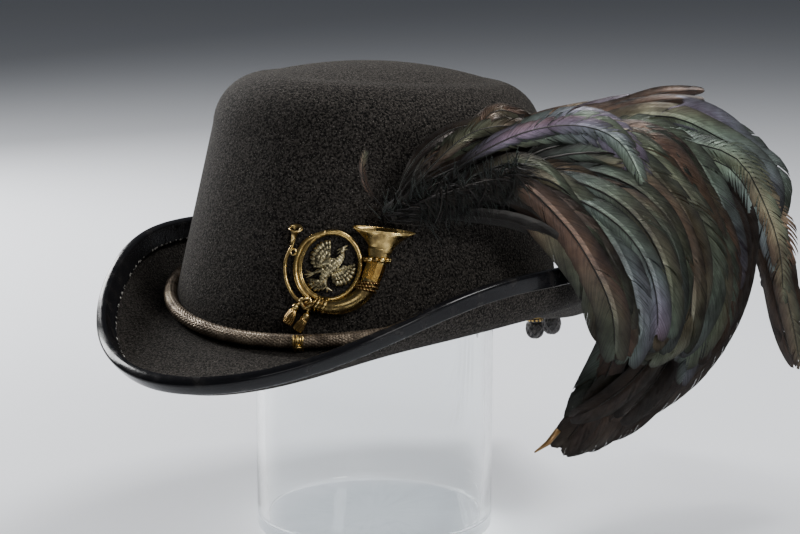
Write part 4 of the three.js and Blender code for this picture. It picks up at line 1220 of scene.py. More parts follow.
def cast_tassel(gather, start, knob, end):
    """Tassel on its string: two knobs over a skirt of twisted strands."""
    knot_lift, lift = 0.225, 0.165
    start, knob, end = (np.array(p) for p in (start, knob, end))
    string = []
    for share in (0, 0.5, 1):
        rise = lerp(knot_lift, lift, share) + 0.03 * math.sin(math.pi * share)
        string.append((*lerp(start, knob, share), rise, 0.05, 0.05))
    limb(gather, string, 6, 8)
    for share, half in ((0.1, 0.128), (0.24, 0.098)):
        middle = np.array([*lerp(knob, end, share), lift]) * COIL_RADIUS
        add_ball(gather, middle, half * COIL_RADIUS, 8, 12, tint=PALE_GOLD, place=on_badge)
    way = unit(end - knob)
    side = np.array([-way[1], way[0]])
    for k in range(TASSEL_STRANDS):
        path = []
        for share in np.linspace(0.24, 1, 9):
            angle = 2 * math.pi * k / TASSEL_STRANDS + 1.1 * share
            radius = float(np.interp(share, (0.24, 0.45, 0.8, 1), (0.06, 0.11, 0.128, 0.132)))
            at = lerp(knob, end, share) + side * radius * math.cos(angle)
            path.append((*at, lift + radius * math.sin(angle)))
        cast(gather, tube_rings(np.array(path) * COIL_RADIUS, 0.036 * COIL_RADIUS, 6), COPPER)
    core = []
    for share, half in ((0.22, 0.07), (0.5, 0.1), (0.8, 0.115), (0.97, 0.12)):
        core.append((*lerp(knob, end, share), lift, half, half))
    limb(gather, core, 8, 10, tint=DARK_COPPER)


def coil_ring(gather):
    """Ring of the coil, with the two turns of tube that lie outside and inside it."""
    turns = np.radians(np.arange(0, 360, 3.75))
    spoke = np.stack([np.cos(turns), np.sin(turns), np.zeros(len(turns))], 1)
    tube = COIL_TUBE / COIL_RADIUS
    middle = (spoke + (0, 0, tube)) * COIL_RADIUS
    ring = full_turn(14)[:, None]
    rings = middle[:, None] + COIL_TUBE * (np.cos(ring) * spoke[:, None] + np.sin(ring) * np.array([0, 0, 1]))
    gather.add(*closed_net(on_badge(rings)))
    for reach, half, lift, first, last in ((1.13, 0.078, 0.11, 240, 105), (0.935, 0.028, 0.15, 250, 120)):
        rows = []
        for share in np.linspace(0, 1, 11):
            turn = math.radians(lerp(first, last, share))
            near = lerp(reach, 1.0, smooth((share - 0.65) / 0.35))
            rows.append((near * math.cos(turn), near * math.sin(turn), lift, half, half))
        limb(gather, rows, 40, 12)


def bow_knot(gather):
    """Flat bow where the tassels' string is tied round the tubes."""
    corners = np.array([(-0.8, -1.06), (-0.53, -0.99), (-0.38, -1.18), (-0.64, -1.31)])
    for i in range(4):
        one, two = corners[i], corners[(i + 1) % 4]
        rows = [
            (*lerp(one, two, s), 0.24 + 0.05 * math.sin(math.pi * s), 0.055, 0.05) for s in (-0.05, 0.5, 1.05)
        ]
        limb(gather, rows, 8, 8, tint=PALE_GOLD)
    for shift in (-0.06, 0.06):
        rows = [(-0.72 + shift, -1.21, 0.2, 0.045, 0.04), (-0.59 + shift, -1.14, 0.27, 0.05, 0.045),
                (-0.48 + shift, -1.06, 0.2, 0.045, 0.04)]
        limb(gather, rows, 10, 8, tint=BRONZE)
    rows = [(-0.74, -1.12, 0.15, 0.1, 0.1), (-0.59, -1.15, 0.16, 0.14, 0.12), (-0.44, -1.14, 0.15, 0.1, 0.1)]
    limb(gather, rows, 8, 12, tint=DARK_RED)


def horn():
    """Gilt horn, cast in one."""
    gather = Gather()
    coil_ring(gather)
    limb(gather, BELL_TUBE, 64, 28, tint=MATT_GOLD)
    open_mouth(gather, (1.64, 1.08), 86, BELL_MOUTH, 0.25, 0.3)
    limb(gather, MOUTH_PIPE, 60, 12)
    open_mouth(gather, (-1.27, 1.03), 80, MOUTHPIECE, 0.7, 0.2, sides=24)
    turn = full_turn(20)
    loop = np.stack([-1.26 + 0.09 * np.cos(turn), 0.33 + 0.09 * np.sin(turn), np.full(20, 0.14)], 1)
    bright_ring(gather, on_badge(loop * COIL_RADIUS), 0.4)
    faceted_ferrule(gather)
    for x, y, way, half, crest in BANDS:
        rope(gather, arch(x, y, way, half, crest, 0.046), 0.6, 1.5, (DARK_RED, GOLD))
    for i, (x, y, way, half, crest) in enumerate(WRAPS):
        path = even_course(arch(x, y, way, half, crest, 0.05), 22)
        wrap = tube_rings(path, 0.58, 8, squash=0.75, first=(1, 0.2, 0))
        cast(gather, wrap, PALE_GOLD if i % 2 else BRONZE)
    beads = arch(*BEAD_BAND, 0.13, count=6, start=18)
    for i, at in enumerate(beads):
        add_ball(gather, at, 1.45, 8, 12, tint=BRONZE if i % 2 else PALE_GOLD, place=on_badge)
        if i:
            add_ball(gather, (at + beads[i - 1]) / 2, 0.7, 6, 8, tint=BEAD_SHADOW, place=on_badge)
    bow_knot(gather)
    for tassel in TASSELS:
        cast_tassel(gather, *tassel)
    return gather.piece("horn", GILT_FINISH, "gilt", ["horn_badge"])


# Eagle, in shares of the coil's opening: each fan has its arm, then the tips of its feathers
WING_UP = ((-0.3, -0.04), (-0.16, 0.18), (-0.05, 0.42)), (
    (-0.15, 0.87), (-0.29, 0.85), (-0.44, 0.79), (-0.58, 0.7), (-0.69, 0.57), (-0.76, 0.42), (-0.78, 0.25),
    (-0.74, 0.09), (-0.62, -0.03),
)
WING_SIDE = ((0.08, -0.2), (0.34, -0.1), (0.62, -0.02)), (
    (0.93, 0.09), (0.96, -0.07), (0.94, -0.22), (0.88, -0.37), (0.79, -0.5), (0.66, -0.6), (0.52, -0.65),
    (0.37, -0.65), (0.23, -0.57),
)
TAIL = ((-0.12, -0.42), (-0.2, -0.5), (-0.28, -0.52)), (
    (-0.76, -0.52), (-0.75, -0.66), (-0.64, -0.77), (-0.5, -0.84), (-0.36, -0.86), (-0.24, -0.8),
)
EAGLE_LIMBS = (
    ((0.42, 0.5, 0.16, 0.06, 0.055), (0.41, 0.36, 0.2, 0.09, 0.08), (0.32, 0.2, 0.21, 0.13, 0.1),
     (0.16, 0.06, 0.2, 0.2, 0.13), (-0.02, -0.14, 0.19, 0.2, 0.13), (-0.16, -0.34, 0.17, 0.15, 0.11),
     (-0.26, -0.5, 0.14, 0.08, 0.07)),
    ((-0.3, 0.02, 0.17, 0.09, 0.07), (-0.08, 0.13, 0.2, 0.14, 0.1), (0.2, 0.14, 0.2, 0.12, 0.09)),
    ((0.4, 0.46, 0.18, 0.08, 0.07), (0.42, 0.57, 0.19, 0.1, 0.085), (0.44, 0.65, 0.17, 0.06, 0.05)),
    ((0.43, 0.62, 0.17, 0.05, 0.045), (0.52, 0.68, 0.16, 0.035, 0.035), (0.58, 0.7, 0.14, 0.012, 0.012)),
    ((0.46, 0.55, 0.16, 0.04, 0.04), (0.54, 0.58, 0.15, 0.025, 0.025), (0.6, 0.57, 0.13, 0.01, 0.01)),
    ((0.38, 0.58, 0.16, 0.04, 0.04), (0.28, 0.57, 0.15, 0.03, 0.03), (0.2, 0.52, 0.13, 0.01, 0.01)),
    ((0.37, 0.5, 0.16, 0.035, 0.035), (0.29, 0.47, 0.15, 0.025, 0.025), (0.23, 0.41, 0.13, 0.01, 0.01)),
    ((-0.22, -0.14, 0.15, 0.11, 0.09), (-0.42, -0.2, 0.15, 0.07, 0.06), (-0.58, -0.28, 0.14, 0.035, 0.035)),
    ((-0.56, -0.27, 0.14, 0.03, 0.03), (-0.72, -0.26, 0.13, 0.028, 0.028), (-0.86, -0.19, 0.11, 0.01, 0.01)),
    ((-0.56, -0.28, 0.14, 0.03, 0.03), (-0.74, -0.33, 0.13, 0.028, 0.028), (-0.9, -0.33, 0.11, 0.01, 0.01)),
    ((-0.56, -0.29, 0.14, 0.03, 0.03), (-0.7, -0.38, 0.13, 0.025, 0.025), (-0.82, -0.44, 0.11, 0.01, 0.01)),
    ((-0.1, -0.36, 0.15, 0.11, 0.09), (-0.1, -0.54, 0.15, 0.065, 0.06), (-0.04, -0.7, 0.14, 0.035, 0.035)),
    ((-0.04, -0.68, 0.14, 0.03, 0.03), (-0.14, -0.76, 0.13, 0.028, 0.028), (-0.2, -0.83, 0.11, 0.01, 0.01)),
    ((-0.04, -0.7, 0.14, 0.03, 0.03), (0, -0.8, 0.13, 0.028, 0.028), (-0.01, -0.88, 0.11, 0.01, 0.01)),
    ((-0.04, -0.7, 0.14, 0.03, 0.03), (0.08, -0.77, 0.13, 0.028, 0.028), (0.19, -0.82, 0.11, 0.01, 0.01)),
    ((0.4, -0.1, 0.2, 0.03, 0.03), (0.5, 0.02, 0.22, 0.035, 0.035), (0.6, -0.05, 0.22, 0.03, 0.03),
     (0.54, -0.14, 0.21, 0.02, 0.02)),
)


WORN_SILVER = (1.4, 1.4, 1.4)
# Rows of a fan: reach, lift, half width and shade of their feathers
FAN_ROWS = ((1.0, 0.1, 0.098, 0.6), (0.66, 0.135, 0.085, 0.5), (0.4, 0.165, 0.07, 0.7))


def feather_fan(gather, arm, tips, size, seed):
    """Fan of cast feathers from an arm, in three overlapping rows, each with side lines."""
    arm = course(arm, 24)
    chance = np.random.default_rng(seed)
    count = len(tips)
    for reach, lift, width, shade in FAN_ROWS:
        for i, tip in enumerate(tips):
            base = arm[int(round((1 - i / (count - 1)) * 23))]
            tip = lerp(base, np.array(tip), reach) + chance.uniform(-0.01, 0.01, 2)
            rows = []
            for share, form in ((0, 0.4), (0.45, 0.72), (0.85, 1), (1, 0.4)):
                rows.append((*lerp(base, tip, share), lift - 0.03 * share, width * form, 0.04 * form + 0.01))
            limb(gather, rows, 9, 4, size=size, tint=np.full(3, shade))
            side = unit(np.array([-(tip - base)[1], (tip - base)[0]]))
            for shift in (-0.45, 0, 0.45):
                line = []
                for share, form in ((0.3, 0.6), (0.65, 0.9), (0.95, 0.8)):
                    at = lerp(base, tip, share) + side * width * shift * form
                    line.append((*at, lift + 0.02 - 0.03 * share, 0.009, 0.014))
                limb(gather, line, 4, 4, size=size, tint=WORN_SILVER)


def eagle():
    """Cast silver eagle in the coil's opening, small scales on its breast."""
    size = COIL_OPENING - GAP
    gather = Gather()
    for seed, (arm, tips) in enumerate((WING_UP, WING_SIDE, TAIL)):
        feather_fan(gather, arm, tips, size, seed + 3)
        limb(gather, [(x, y, 0.17, 0.06, 0.055) for x, y in arm], 10, 10, size=size)
    for i, rows in enumerate(EAGLE_LIMBS):
        limb(gather, rows, 20 if i == 0 else 10, 14 if i == 0 else 8, size=size)
    chance = np.random.default_rng(8)
    spine = course(np.array(EAGLE_LIMBS[0]), 13)
    for x, y, lift, half, deep in spine[2:-1]:
        for share in np.linspace(-0.8, 0.8, 5):
            rise = deep * math.sqrt(1 - share * share)
            middle = np.array([x + share * half * 0.8, y - share * half * 0.6, lift + rise]) * size
            add_ball(gather, middle, 0.5 + chance.uniform(0, 0.12), 4, 6, (0.8, 1.25, 0.5), place=on_badge)
    return gather.piece("eagle", SILVER_FINISH, "silver", ["badge_eagle"])


# Plume. Its drawing has its origin at the root: out along its heading, up, and aside towards the viewer.
PLUME_ROOT = on_crown(PLUME_ANGLE, PLUME_HEIGHT, 0, 0, PLUME_STAND_OFF)
PLUME_WAY, PLUME_SIDE = (
    np.array([math.sin(math.radians(turn)), way * math.cos(math.radians(turn)), 0])
    for turn, way in ((PLUME_HEADING, 1), (PLUME_SPREAD_HEADING, -1))
)


def in_plume(points):
    points = np.asarray(points, float)
    return PLUME_ROOT + points[:, :1] * PLUME_WAY + points[:, 1:2] * (0, 0, 1) + points[:, 2:3] * PLUME_SIDE


# Painted gloss of a cock feather: colours of its sheen by how the light meets it, painted into the tint, from
# one end of its play of colours to the other
GLOSS = np.array([
    (0.16, 0.09, 0.055), (0.32, 0.19, 0.12), (0.3, 0.25, 0.15), (0.23, 0.27, 0.17), (0.26, 0.35, 0.26),
    (0.29, 0.36, 0.34), (0.31, 0.31, 0.39), (0.35, 0.26, 0.36), (0.38, 0.23, 0.2),
])
FEATHER_BLACK = np.array([0.022, 0.018, 0.014])


def gloss(phase):
    """Colour of the painted gloss at a phase from 0 to 1, bronze through green to violet."""
    place = np.clip(phase, 0, 1) * (len(GLOSS) - 1)
    low = np.minimum(place.astype(int), len(GLOSS) - 2)
    share = (place - low)[..., None]
    return GLOSS[low] * (1 - share) + GLOSS[low + 1] * share


# Long feathers in millimetres: points out and up, then aside at the root and the tip, half width, phase of
# the painted gloss with its brightness, which paints each feather as lit or in shade, how many lie together,
# and how far their vanes are parted
LONG_FEATHERS = (
    (((30, 16), (55, 27), (75, 35), (95, 42), (116, 48), (137, 52), (162, 53)),
     10, -4, 3, 0.12, 1.3, 3, 0.03),
    (((40, 18), (81, 34), (121, 44), (145, 45), (169, 37), (191, 26), (205, 13), (208, -2)),
     10, -6, 7.5, 0.52, 1.8, 4, 0.12),
    (((60, 22), (110, 38), (154, 34), (183, 26), (201, 5), (213, -18), (218, -42)),
     12, -5, 6.6, 0.47, 2.1, 3, 0.6),
    (((100, 30), (160, 30), (201, 5), (215, -28), (226, -54), (233, -76)),
     3, -12, 6, 0.08, 0.8, 3, 0.05),
    (((40, 18), (104, 32), (133, 35), (156, 19), (173, -5), (182, -29)),
     12, 10, 7.5, 0.62, 1.1, 4, 0.3),
    (((40, 14), (80, 28), (118, 29), (141, 14), (156, -5), (162, -28), (155, -50), (140, -62)),
     14, 22, 9.5, 0.4, 1.1, 4, 0.15),
    (((50, 18), (100, 34), (139, 30), (163, 0), (172, -23), (171, -47), (160, -64)),
     12, 15, 9, 0.3, 1.0, 4, 0.15),
    (((20, 10), (58, 19), (87, 1), (106, -21), (116, -39), (119, -57)),
     16, 30, 9, 0.25, 0.9, 4, 0.04),
    (((25, 12), (72, 20), (101, 4), (121, -20), (131, -44), (127, -60)),
     15, 26, 9, 0.45, 1.0, 3, 0.08),
    (((35, 14), (98, 15), (125, 4), (140, -14), (147, -34), (143, -56)),
     14, 24, 8, 0.7, 0.9, 3, 0.1),
    (((20, 14), (45, 30), (70, 40), (95, 42), (115, 35), (128, 18)),
     15, 22, 5.5, 0.68, 1.7, 4, 0.35),
    (((8, 8), (22, 24), (38, 37), (54, 41), (72, 40)),
     13, 12, 4, 0.15, 1.1, 4, 0.4),
    (((100, 26), (150, 22), (182, 0), (187, -28), (178, -53), (157, -74), (130, -93), (104, -108)),
     1, -12, 9, 0.06, 0.4, 7, 0.03),
    (((96, 0), (118, -30), (126, -51), (121, -70), (113, -89), (99, -106)),
     4, -8, 7.5, 0.1, 0.6, 4, 0.03),
)

# Locks under them, in shares of the reach: where each leaves the stem, its two bends and its tip, near and
# far aside, and half width. Then how many feathers it has, their half width in millimetres, and the phase and
# brightness of their painted gloss, which paints each lock as lit or in shade
LOCKS = (
    ((0.12, 0.1), (0.3, 0.2), (0.5, 0.21), (0.68, 0.2), 0.04, -0.05, 0.025, 4, 3.4, 0.2, 1.4),
    ((0.16, 0.1), (0.48, 0.23), (0.84, 0.23), (0.91, 0), 0.04, -0.08, 0.045, 6, 5.0, 0.6, 1.3),
    ((0.28, 0.14), (0.7, 0.24), (0.92, 0.05), (0.95, -0.19), 0.04, -0.12, 0.045, 5, 5.5, 0.45, 1.2),
    ((0.44, 0.13), (0.84, 0.19), (0.97, -0.08), (0.99, -0.33), 0.02, -0.07, 0.03, 4, 4.0, 0.1, 0.8),
    ((0.26, 0.1), (0.62, 0.22), (0.79, 0.02), (0.81, -0.15), 0.05, 0.03, 0.05, 5, 6.5, 0.7, 1.2),
    ((0.26, 0.09), (0.6, 0.15), (0.77, -0.06), (0.62, -0.28), 0.06, 0.1, 0.055, 5, 7.5, 0.4, 1.1),
    ((0.34, 0.11), (0.7, 0.15), (0.84, -0.12), (0.69, -0.3), 0.05, 0.05, 0.05, 5, 7.0, 0.5, 0.9),
    ((0.12, 0.05), (0.35, 0.09), (0.5, -0.09), (0.54, -0.27), 0.06, 0.12, 0.04, 4, 7.0, 0.2, 0.8),
    ((0.16, 0.06), (0.42, 0.1), (0.58, -0.1), (0.57, -0.26), 0.06, 0.08, 0.045, 4, 7.0, 0.35, 1),
    ((0.22, 0.08), (0.52, 0.11), (0.67, -0.08), (0.62, -0.26), 0.06, 0.13, 0.05, 5, 7.5, 0.65, 1.2),
    ((0.5, 0.1), (0.86, 0.06), (0.86, -0.25), (0.52, -0.43), -0.01, -0.1, 0.045, 6, 6.5, 0.1, 0.4),
    ((0.44, 0.09), (0.66, -0.02), (0.61, -0.26), (0.42, -0.47), 0.03, -0.04, 0.03, 5, 6.5, 0.1, 0.5),
    ((0.48, 0.1), (0.74, 0), (0.73, -0.29), (0.47, -0.43), 0.02, 0.01, 0.05, 6, 6.5, 0.2, 0.45),
    ((0.04, 0.01), (0.14, 0.04), (0.3, 0.07), (0.42, -0.06), 0.06, 0.09, 0.03, 5, 4.5, 0.1, 0.12),
    ((0.02, 0.02), (0.06, 0.12), (0.18, 0.18), (0.33, 0.17), 0.05, 0.05, 0.025, 5, 3.2, 0.2, 0.35),
)
LOCK_ALONG = (0, 0.2, 0.45, 0.75, 0.92, 1)
LOCK_FULL = (0.35, 0.7, 1, 0.95, 0.7, 0.45)
HANGING_BARBS = 420
BUNDLE_LENGTH = 3.4
BARB_ROWS = np.array([0, 0.3, 0.62, 0.86, 1.0])


def vane_form(share):
    """Half width of a vane along its quill: narrow at the root, full past the middle, round at the tip."""
    rise = smooth(share / 0.4) * 0.7 + 0.3 * smooth(share / 0.75)
    fall = math.sqrt(max(1 - (max(share - 0.76, 0) / 0.24) ** 2, 0.0))
    return (0.12 + 0.88 * rise) * max(fall, 0.1)


def add_feather(gather, spine, face, half, phase, bright, chance, parted=0.1, curl=0.14):
    """Feather on a spine: its quill, and on both sides bundles of barbs that part here and there."""
    length = np.linalg.norm(np.diff(spine, axis=0), axis=1).sum()
    ways = unit(np.gradient(spine, axis=0))
    side = unit(np.cross(face, ways))
    normal = np.cross(ways, side)
    at = np.linspace(0, 1, len(spine))

    def sample(values, share):
        return np.stack([np.interp(share, at, values[:, i]) for i in range(3)], -1)

    count = max(14, int(length / BUNDLE_LENGTH))
    start = 0.05
    turns = chance.uniform(0, 2 * math.pi, 3)
    for hand in (-1, 1):
        width = half * chance.uniform(0.88, 1.08)
        sway = 0.0
        for g in range(count):
            low = start + (1 - start) * g / count
            high = start + (1 - start) * (g + 1) / count
            loose = chance.random() < parted
            gap = chance.uniform(0.35, 0.75) if loose else 0.0
            sway = 0.75 * sway + 0.25 * chance.uniform(-1, 1)
            lift = sway * width * 0.14 + (chance.uniform(-0.3, 0.3) * width * 0.3 if loose else 0)
            reach = chance.uniform(0.86, 1.02) if loose else 1 + 0.04 * sway
            points, marks, tints = [], [], []
            for share, shrink in ((low, 0), (high, gap)):
                w = width * reach * vane_form(0.5 * (low + high) if loose else share)
                lean = (1.7 * w + 0.2 * half) / length
                place = share - shrink * (high - low) * BARB_ROWS + lean * BARB_ROWS**1.4
                base = sample(spine, place) + ways[-1] * (np.maximum(place - 1, 0) * length)[:, None]
                out = sample(side, np.minimum(place, 1)) * hand
                up = sample(normal, np.minimum(place, 1))
                sink = (lift - curl * w) * BARB_ROWS**2
                points.append(base + out * (w * BARB_ROWS)[:, None] + up * sink[:, None])
                marks.append(np.stack([BARB_ROWS * w, np.full(5, share * length)], 1))
                play = 0.1 * hand * BARB_ROWS * math.sin(3 * share + turns[1])
                play = 0.2 * math.sin(5.2 * share + turns[0]) + play
                # Painted sheen: the gloss shows past the root and fades at the tip; it is taken off towards
                # the vane's outer edge, whose dark edge is painted shade between feathers
                shown = smooth((share - 0.12) / 0.3) * (1 - 0.35 * smooth((share - 0.8) / 0.2))
                shown = shown * (0.78 + 0.22 * math.sin(9 * share + turns[2])) * (1 - 0.8 * BARB_ROWS**3)
                colour = gloss(phase + play) * bright
                tints.append(FEATHER_BLACK + (colour - FEATHER_BLACK) * shown[:, None])
            faces = [(k, k + 1, 5 + k + 1, 5 + k) for k in range(4)]
            if hand < 0:
                faces = [tuple(reversed(f)) for f in faces]
            gather.add(np.concatenate(points), faces, np.concatenate(marks), np.concatenate(tints))
    quill = spine + normal * 0.12
    radius = np.linspace(0.62, 0.14, len(spine)) * (half / 7) ** 0.5
    points, faces = closed_skin(tube_rings(quill[::2], radius[::2], 5))
    gather.add(points, faces, np.zeros((len(points), 2)), tint=FEATHER_BLACK * 2.4)


def feather_face(chance, spread=0.35):
    """Way that a feather faces: aside, tipped at chance."""
    lean = chance.normal(0, spread)
    up = np.array([0, 0, 1.0])
    return unit(PLUME_SIDE * math.cos(lean) + (up * 0.5 + PLUME_WAY * 0.3) * math.sin(lean) + up * 0.12)


def beside(line, shift):
    """Flat line, shifted to its own left."""
    way = unit(np.gradient(line, axis=0))
    return line + np.stack([-way[:, 1], way[:, 0]], 1) * shift[:, None]


def lock_feathers(gather, chance):
    """Feathers of the locks, side by side in each, the brighter ones more parted."""
    for first, bend, hang, tip, near, far, half, count, width, phase, bright in LOCKS:
        for i in range(count):
            share = (i + 0.5) / count * 2 - 1
            corners = []
            for corner, loose in ((first, 0.008), (bend, 0.014), (hang, 0.02), (tip, 0.022)):
                corners.append(np.array(corner) + chance.normal(0, loose, 2))
            cut = chance.uniform(0.86, 1.0)
            line = even_course(bezier(corners, 40)[: int(40 * cut)], 34)
            along = np.linspace(0, cut, 34)
            full = np.interp(along, LOCK_ALONG, LOCK_FULL) * half
            flat = beside(line, share * 0.75 * full * (1 if i % 2 else -1))
            depth = lerp(near, far, along) + chance.uniform(-0.6, 0.4) * full * 0.9
            spine = in_plume(np.concatenate([flat, depth[:, None]], 1) * PLUME_REACH)
            add_feather(
                gather, spine, feather_face(chance), width * chance.uniform(0.8, 1.1),
                phase + chance.uniform(-0.2, 0.2), bright * chance.uniform(0.4, 0.9), chance,
                0.07 * smooth(bright - 0.3),
            )


def long_feathers(gather, chance):
    """Long feathers on their own courses. The first of each set lies on top, and the others round it."""
    for points, near, far, half, phase, bright, count, parted in LONG_FEATHERS:
        for i in range(count):
            loose = 0 if i == 0 else 1
            line = np.array(points, float) + loose * chance.normal(0, 1.6, (len(points), 2))
            line = even_course(course(line, 60), 60)
            cut = 60 - loose * int(chance.uniform(0, 9))
            line = even_course(line[:cut], 40)
            along = np.linspace(0, cut / 60, 40)
            shift = loose * (1 if i % 2 else -1) * (0.35 + 0.3 * i / count) * half * smooth(along / 0.5)
            depth = lerp(near, far, along) + (1.5 - loose * chance.uniform(1.5, 4.5)) * smooth(along / 0.3)
            spine = in_plume(np.concatenate([beside(line, shift), depth[:, None]], 1))
            add_feather(
                gather, spine, feather_face(chance, 0.18 if i == 0 else 0.35),
                half * chance.uniform(0.85, 1.05), phase + loose * chance.uniform(-0.15, 0.15),
                bright * chance.uniform(0.75, 1.1), chance, parted,
            )


def downy_barbs(gather):
    """Loose black down round the quills near the root."""
    corners = [(hand * half, out, up) for half, out, up in ((0.2, 0, 0), (0.18, 1.4, 4), (0.12, 1.8, 8))
               for hand in (-1, 1)] + [(0, 1, 12)]
    barb = plain_object("down_barb", corners, [(0, 1, 3, 2), (2, 3, 5, 4), (4, 5, 6)])
    for seed, (path, aside, smallest, lean, spacing) in enumerate((
        (((2, 3), (18, 12), (36, 19), (62, 24), (84, 26)), 12, 0.5, 1.1, 0.16),
        (((4, 1), (20, 6), (40, 10), (62, 11)), 15, 0.5, 1.1, 0.18),
        (((6, 6), (18, 20), (30, 32), (44, 39)), 11, 0.35, 0.8, 0.2),
        (((0, 4), (10, 9), (26, 13)), 13, 0.4, 1.3, 0.18),
        (((60, 22), (90, 22), (110, 14)), 15, 0.4, 0.9, 0.4),
    )):
        line = course(np.array(path, float), 24)
        host = path_host("down_path", in_plume(np.concatenate([line, np.full((24, 1), aside)], 1)))
        points, faces = grown(host, TUFTS_ALONG_PATH, {
            "Barb": barb, "Spacing": spacing, "Lean": lean, "Smallest": smallest, "Seed": seed + 11,
            "Material": FEATHER_FINISH,
        })
        # Tints above black on some tufts: a painted brown highlight
        gather.add(points, faces, tint=FEATHER_BLACK * (3.4, 1.6, 4.5, 1.2, 3.0)[seed])
    bpy.data.objects.remove(barb)


def hanging_barbs(gather):
    """Soft black barbs that hang from the quills near the root, some of them tinted brown as a painted
    highlight. A few stand up.
    """
    chance = np.random.default_rng(31)
    stem = course(np.array([(2, 2), (20, 11), (42, 17), (66, 22)], float), 60)
    for k in range(HANGING_BARBS):
        share = chance.random() ** 0.8
        at = stem[int(share * 59)] + chance.normal(0, 1.6, 2)
        rising = k % 5 == 0
        lowest = lerp(-6, -88, smooth(share / 0.5))
        way = math.radians(chance.uniform(55, 140) if rising else chance.uniform(lowest, 12))
        long = chance.uniform(5, 12) if rising else chance.uniform(9, 24) * (1 - 0.35 * share)
        bend = chance.uniform(-0.5, 0.3) * smooth(share / 0.3)
        line = []
        for part in np.linspace(0, 1, 6):
            turn = way + bend * part
            flat = at + long * part * np.array([math.cos(turn), math.sin(turn)])
            line.append((*flat, 13 + 9 * share + 2.5 * part))
        # Brown tint on a few barbs: a painted highlight
        brown = 1 + 5 * chance.random() ** 4
        thick = 0.16 + 0.26 * chance.random() ** 2
        radius = thick * np.array([1, 1, 1, 0.9, 0.7, 0.3])
        add_tube(gather, in_plume(line), radius, 3, FEATHER_BLACK * brown)


def plume_feathers():
    """Plume: locks, long feathers over them, down, a small curled feather and a bare quill."""
    chance = np.random.default_rng(23)
    gather = Gather()
    lock_feathers(gather, chance)
    long_feathers(gather, chance)
    downy_barbs(gather)
    hanging_barbs(gather)
    curl = course(np.array([(0, 6, 13), (-8, 14, 13), (-11, 23, 13), (-10, 30, 13)], float), 30)
    curl = in_plume(even_course(curl, 24))
    add_feather(gather, curl, feather_face(chance, 0.1), 1.7, 0.1, 0.8, chance, 0.9)
    quill = in_plume(np.array([(96, -99, -7), (91, -105, -8), (84, -109, -8)], float))
    add_tube(gather, quill, [1.5, 1.3, 0.4], 7, (0.95, 0.58, 0.2))
    return gather.piece("cock_feathers", FEATHER_FINISH, "feather", ["plume"])


def leather_sleeve():
    """Stitched leather sleeve round the quills."""
    rise = math.radians(QUILL_RISE)
    ends = in_plume([
        (d * math.cos(rise), d * math.sin(rise), 0) for d in (SLEEVE_START, SLEEVE_START + SLEEVE_LENGTH)
    ])
    way = unit(ends[1] - ends[0])
    side = unit(np.cross(way, (0, 0, 1)))
    other = np.cross(way, side)
    bore = QUILL_RADIUS + GAP
    outside = bore + SLEEVE_WALL
    turn = full_turn(28)[:, None]
    profile = [(bore, 0), (bore + 0.3, 0), (outside - 0.1, 0.1), (outside, 0.5)]
    profile += [(radius, SLEEVE_LENGTH - along) for radius, along in reversed(profile)]
    gather = Gather()
    spoke = np.cos(turn) * side + np.sin(turn) * other
    gather.add(*closed_net([ends[0] + way * along + radius * spoke for radius, along in profile]))
    out = math.cos(2.2) * side + math.sin(2.2) * other
    for i in range(SLEEVE_STITCHES):
        start = ends[0] + way * (1.2 + i * 1.3) + out * (outside + 0.05) - way * 0.35
        add_tube(gather, [start, start + out * 0.12 + way * 0.35, start + way * 0.7], 0.16, 5)
    return gather.piece("leather_sleeve", SLEEVE_FINISH, "sleeve_leather", ["plume_sleeve"])


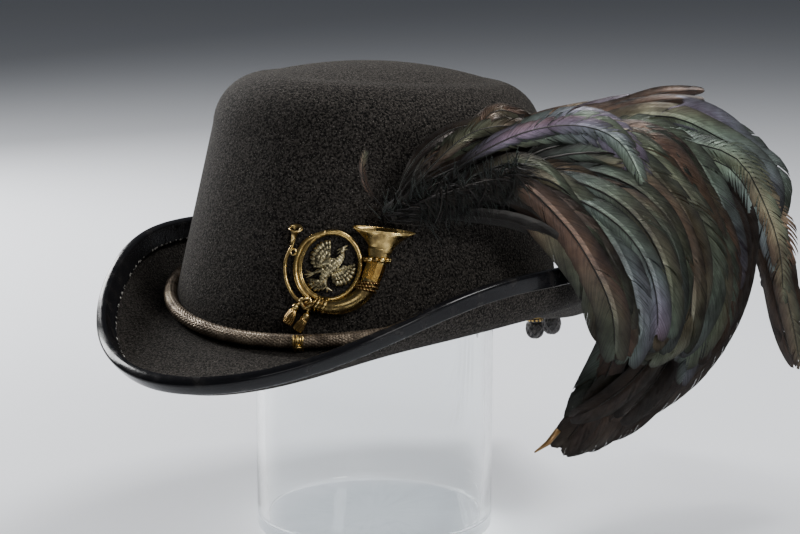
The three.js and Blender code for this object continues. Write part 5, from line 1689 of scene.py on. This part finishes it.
def glass_cylinder():
    """Drawn glass cylinder with melted, rounded rims."""
    outside, inside = STAND_RADIUS, STAND_RADIUS - STAND_WALL
    rim = STAND_WALL / 2
    top = STAND_HEIGHT - rim
    foot, floor = 1.6, 2.4

    def arc(x, z, radius, angles):
        return [(x + radius * math.cos(a), z + radius * math.sin(a)) for a in np.radians(angles)]

    profile = [(0.4, 0), (outside * 0.5, 0), (outside - foot, 0)]
    profile += arc(outside - foot, foot, foot, (-60, -30, 0))
    profile += [(outside, z) for z in (40, 80, 120, 160, top)]
    profile += arc(outside - rim, top, rim, range(20, 161, 20))
    profile += [(inside, z) for z in (top, 160, 120, 80, 40, STAND_BASE + floor)]
    profile += arc(inside - floor, STAND_BASE + floor, floor, (-30, -60, -90))
    profile += [(outside * 0.5, STAND_BASE), (0.4, STAND_BASE)]
    gather = Gather()
    gather.add(*closed_skin([level_ring(x, z, GLASS_TURNS) for x, z in profile]))

    def upright(points):
        return points * MILLIMETRE

    return gather.piece("glass_cylinder", GLASS_FINISH, "glass", ["glass_stand"], upright)


for make_piece in (
    felt_hood, leather_binding, braided_cord, gilt_tie, wound_slide, horn, eagle, plume_feathers,
    leather_sleeve, glass_cylinder,
):
    make_piece()


# Floor and light
floor = plain_object("floor", [(-4, -4, 0), (4, -4, 0), (4, 4, 0), (-4, 4, 0)], [(0, 1, 2, 3)])
floor.data.materials.append(new_material("pale_floor", Base_Color=(0.8, 0.82, 0.86, 1), Roughness=0.6)[0])


def soft_light(name, place, power, size, target=(0, 0, 0.15)):
    light = bpy.data.objects.new(name, bpy.data.lights.new(name, "AREA"))
    light.data.energy = power
    light.data.shape = "RECTANGLE"
    light.data.size, light.data.size_y = size
    light.location = place
    light.rotation_mode = "QUATERNION"
    light.rotation_quaternion = (Vector(target) - Vector(place)).to_track_quat("-Z", "Y")
    bpy.context.scene.collection.objects.link(light)


soft_light("key", (-1.3, 0.0, 0.8), 26, (0.35, 0.8))
soft_light("rim", (-1.04, 0.47, 0.55), 8, (0.25, 0.5))
soft_light("side", (1.3, -0.35, 0.95), 11, (0.4, 0.8))
soft_light("front", (0.7, -1.0, 1.0), 2, (0.5, 0.4), (0.1, 0, 0.15))
soft_light("back", (0.3, 0.5, 1.2), 14, (0.5, 0.4))
world = bpy.data.worlds.new("studio")
bpy.context.scene.world = world
world.use_nodes = True
world.node_tree.nodes["Background"].inputs["Color"].default_value = (0.72, 0.76, 0.84, 1)
world.node_tree.nodes["Background"].inputs["Strength"].default_value = 0.09
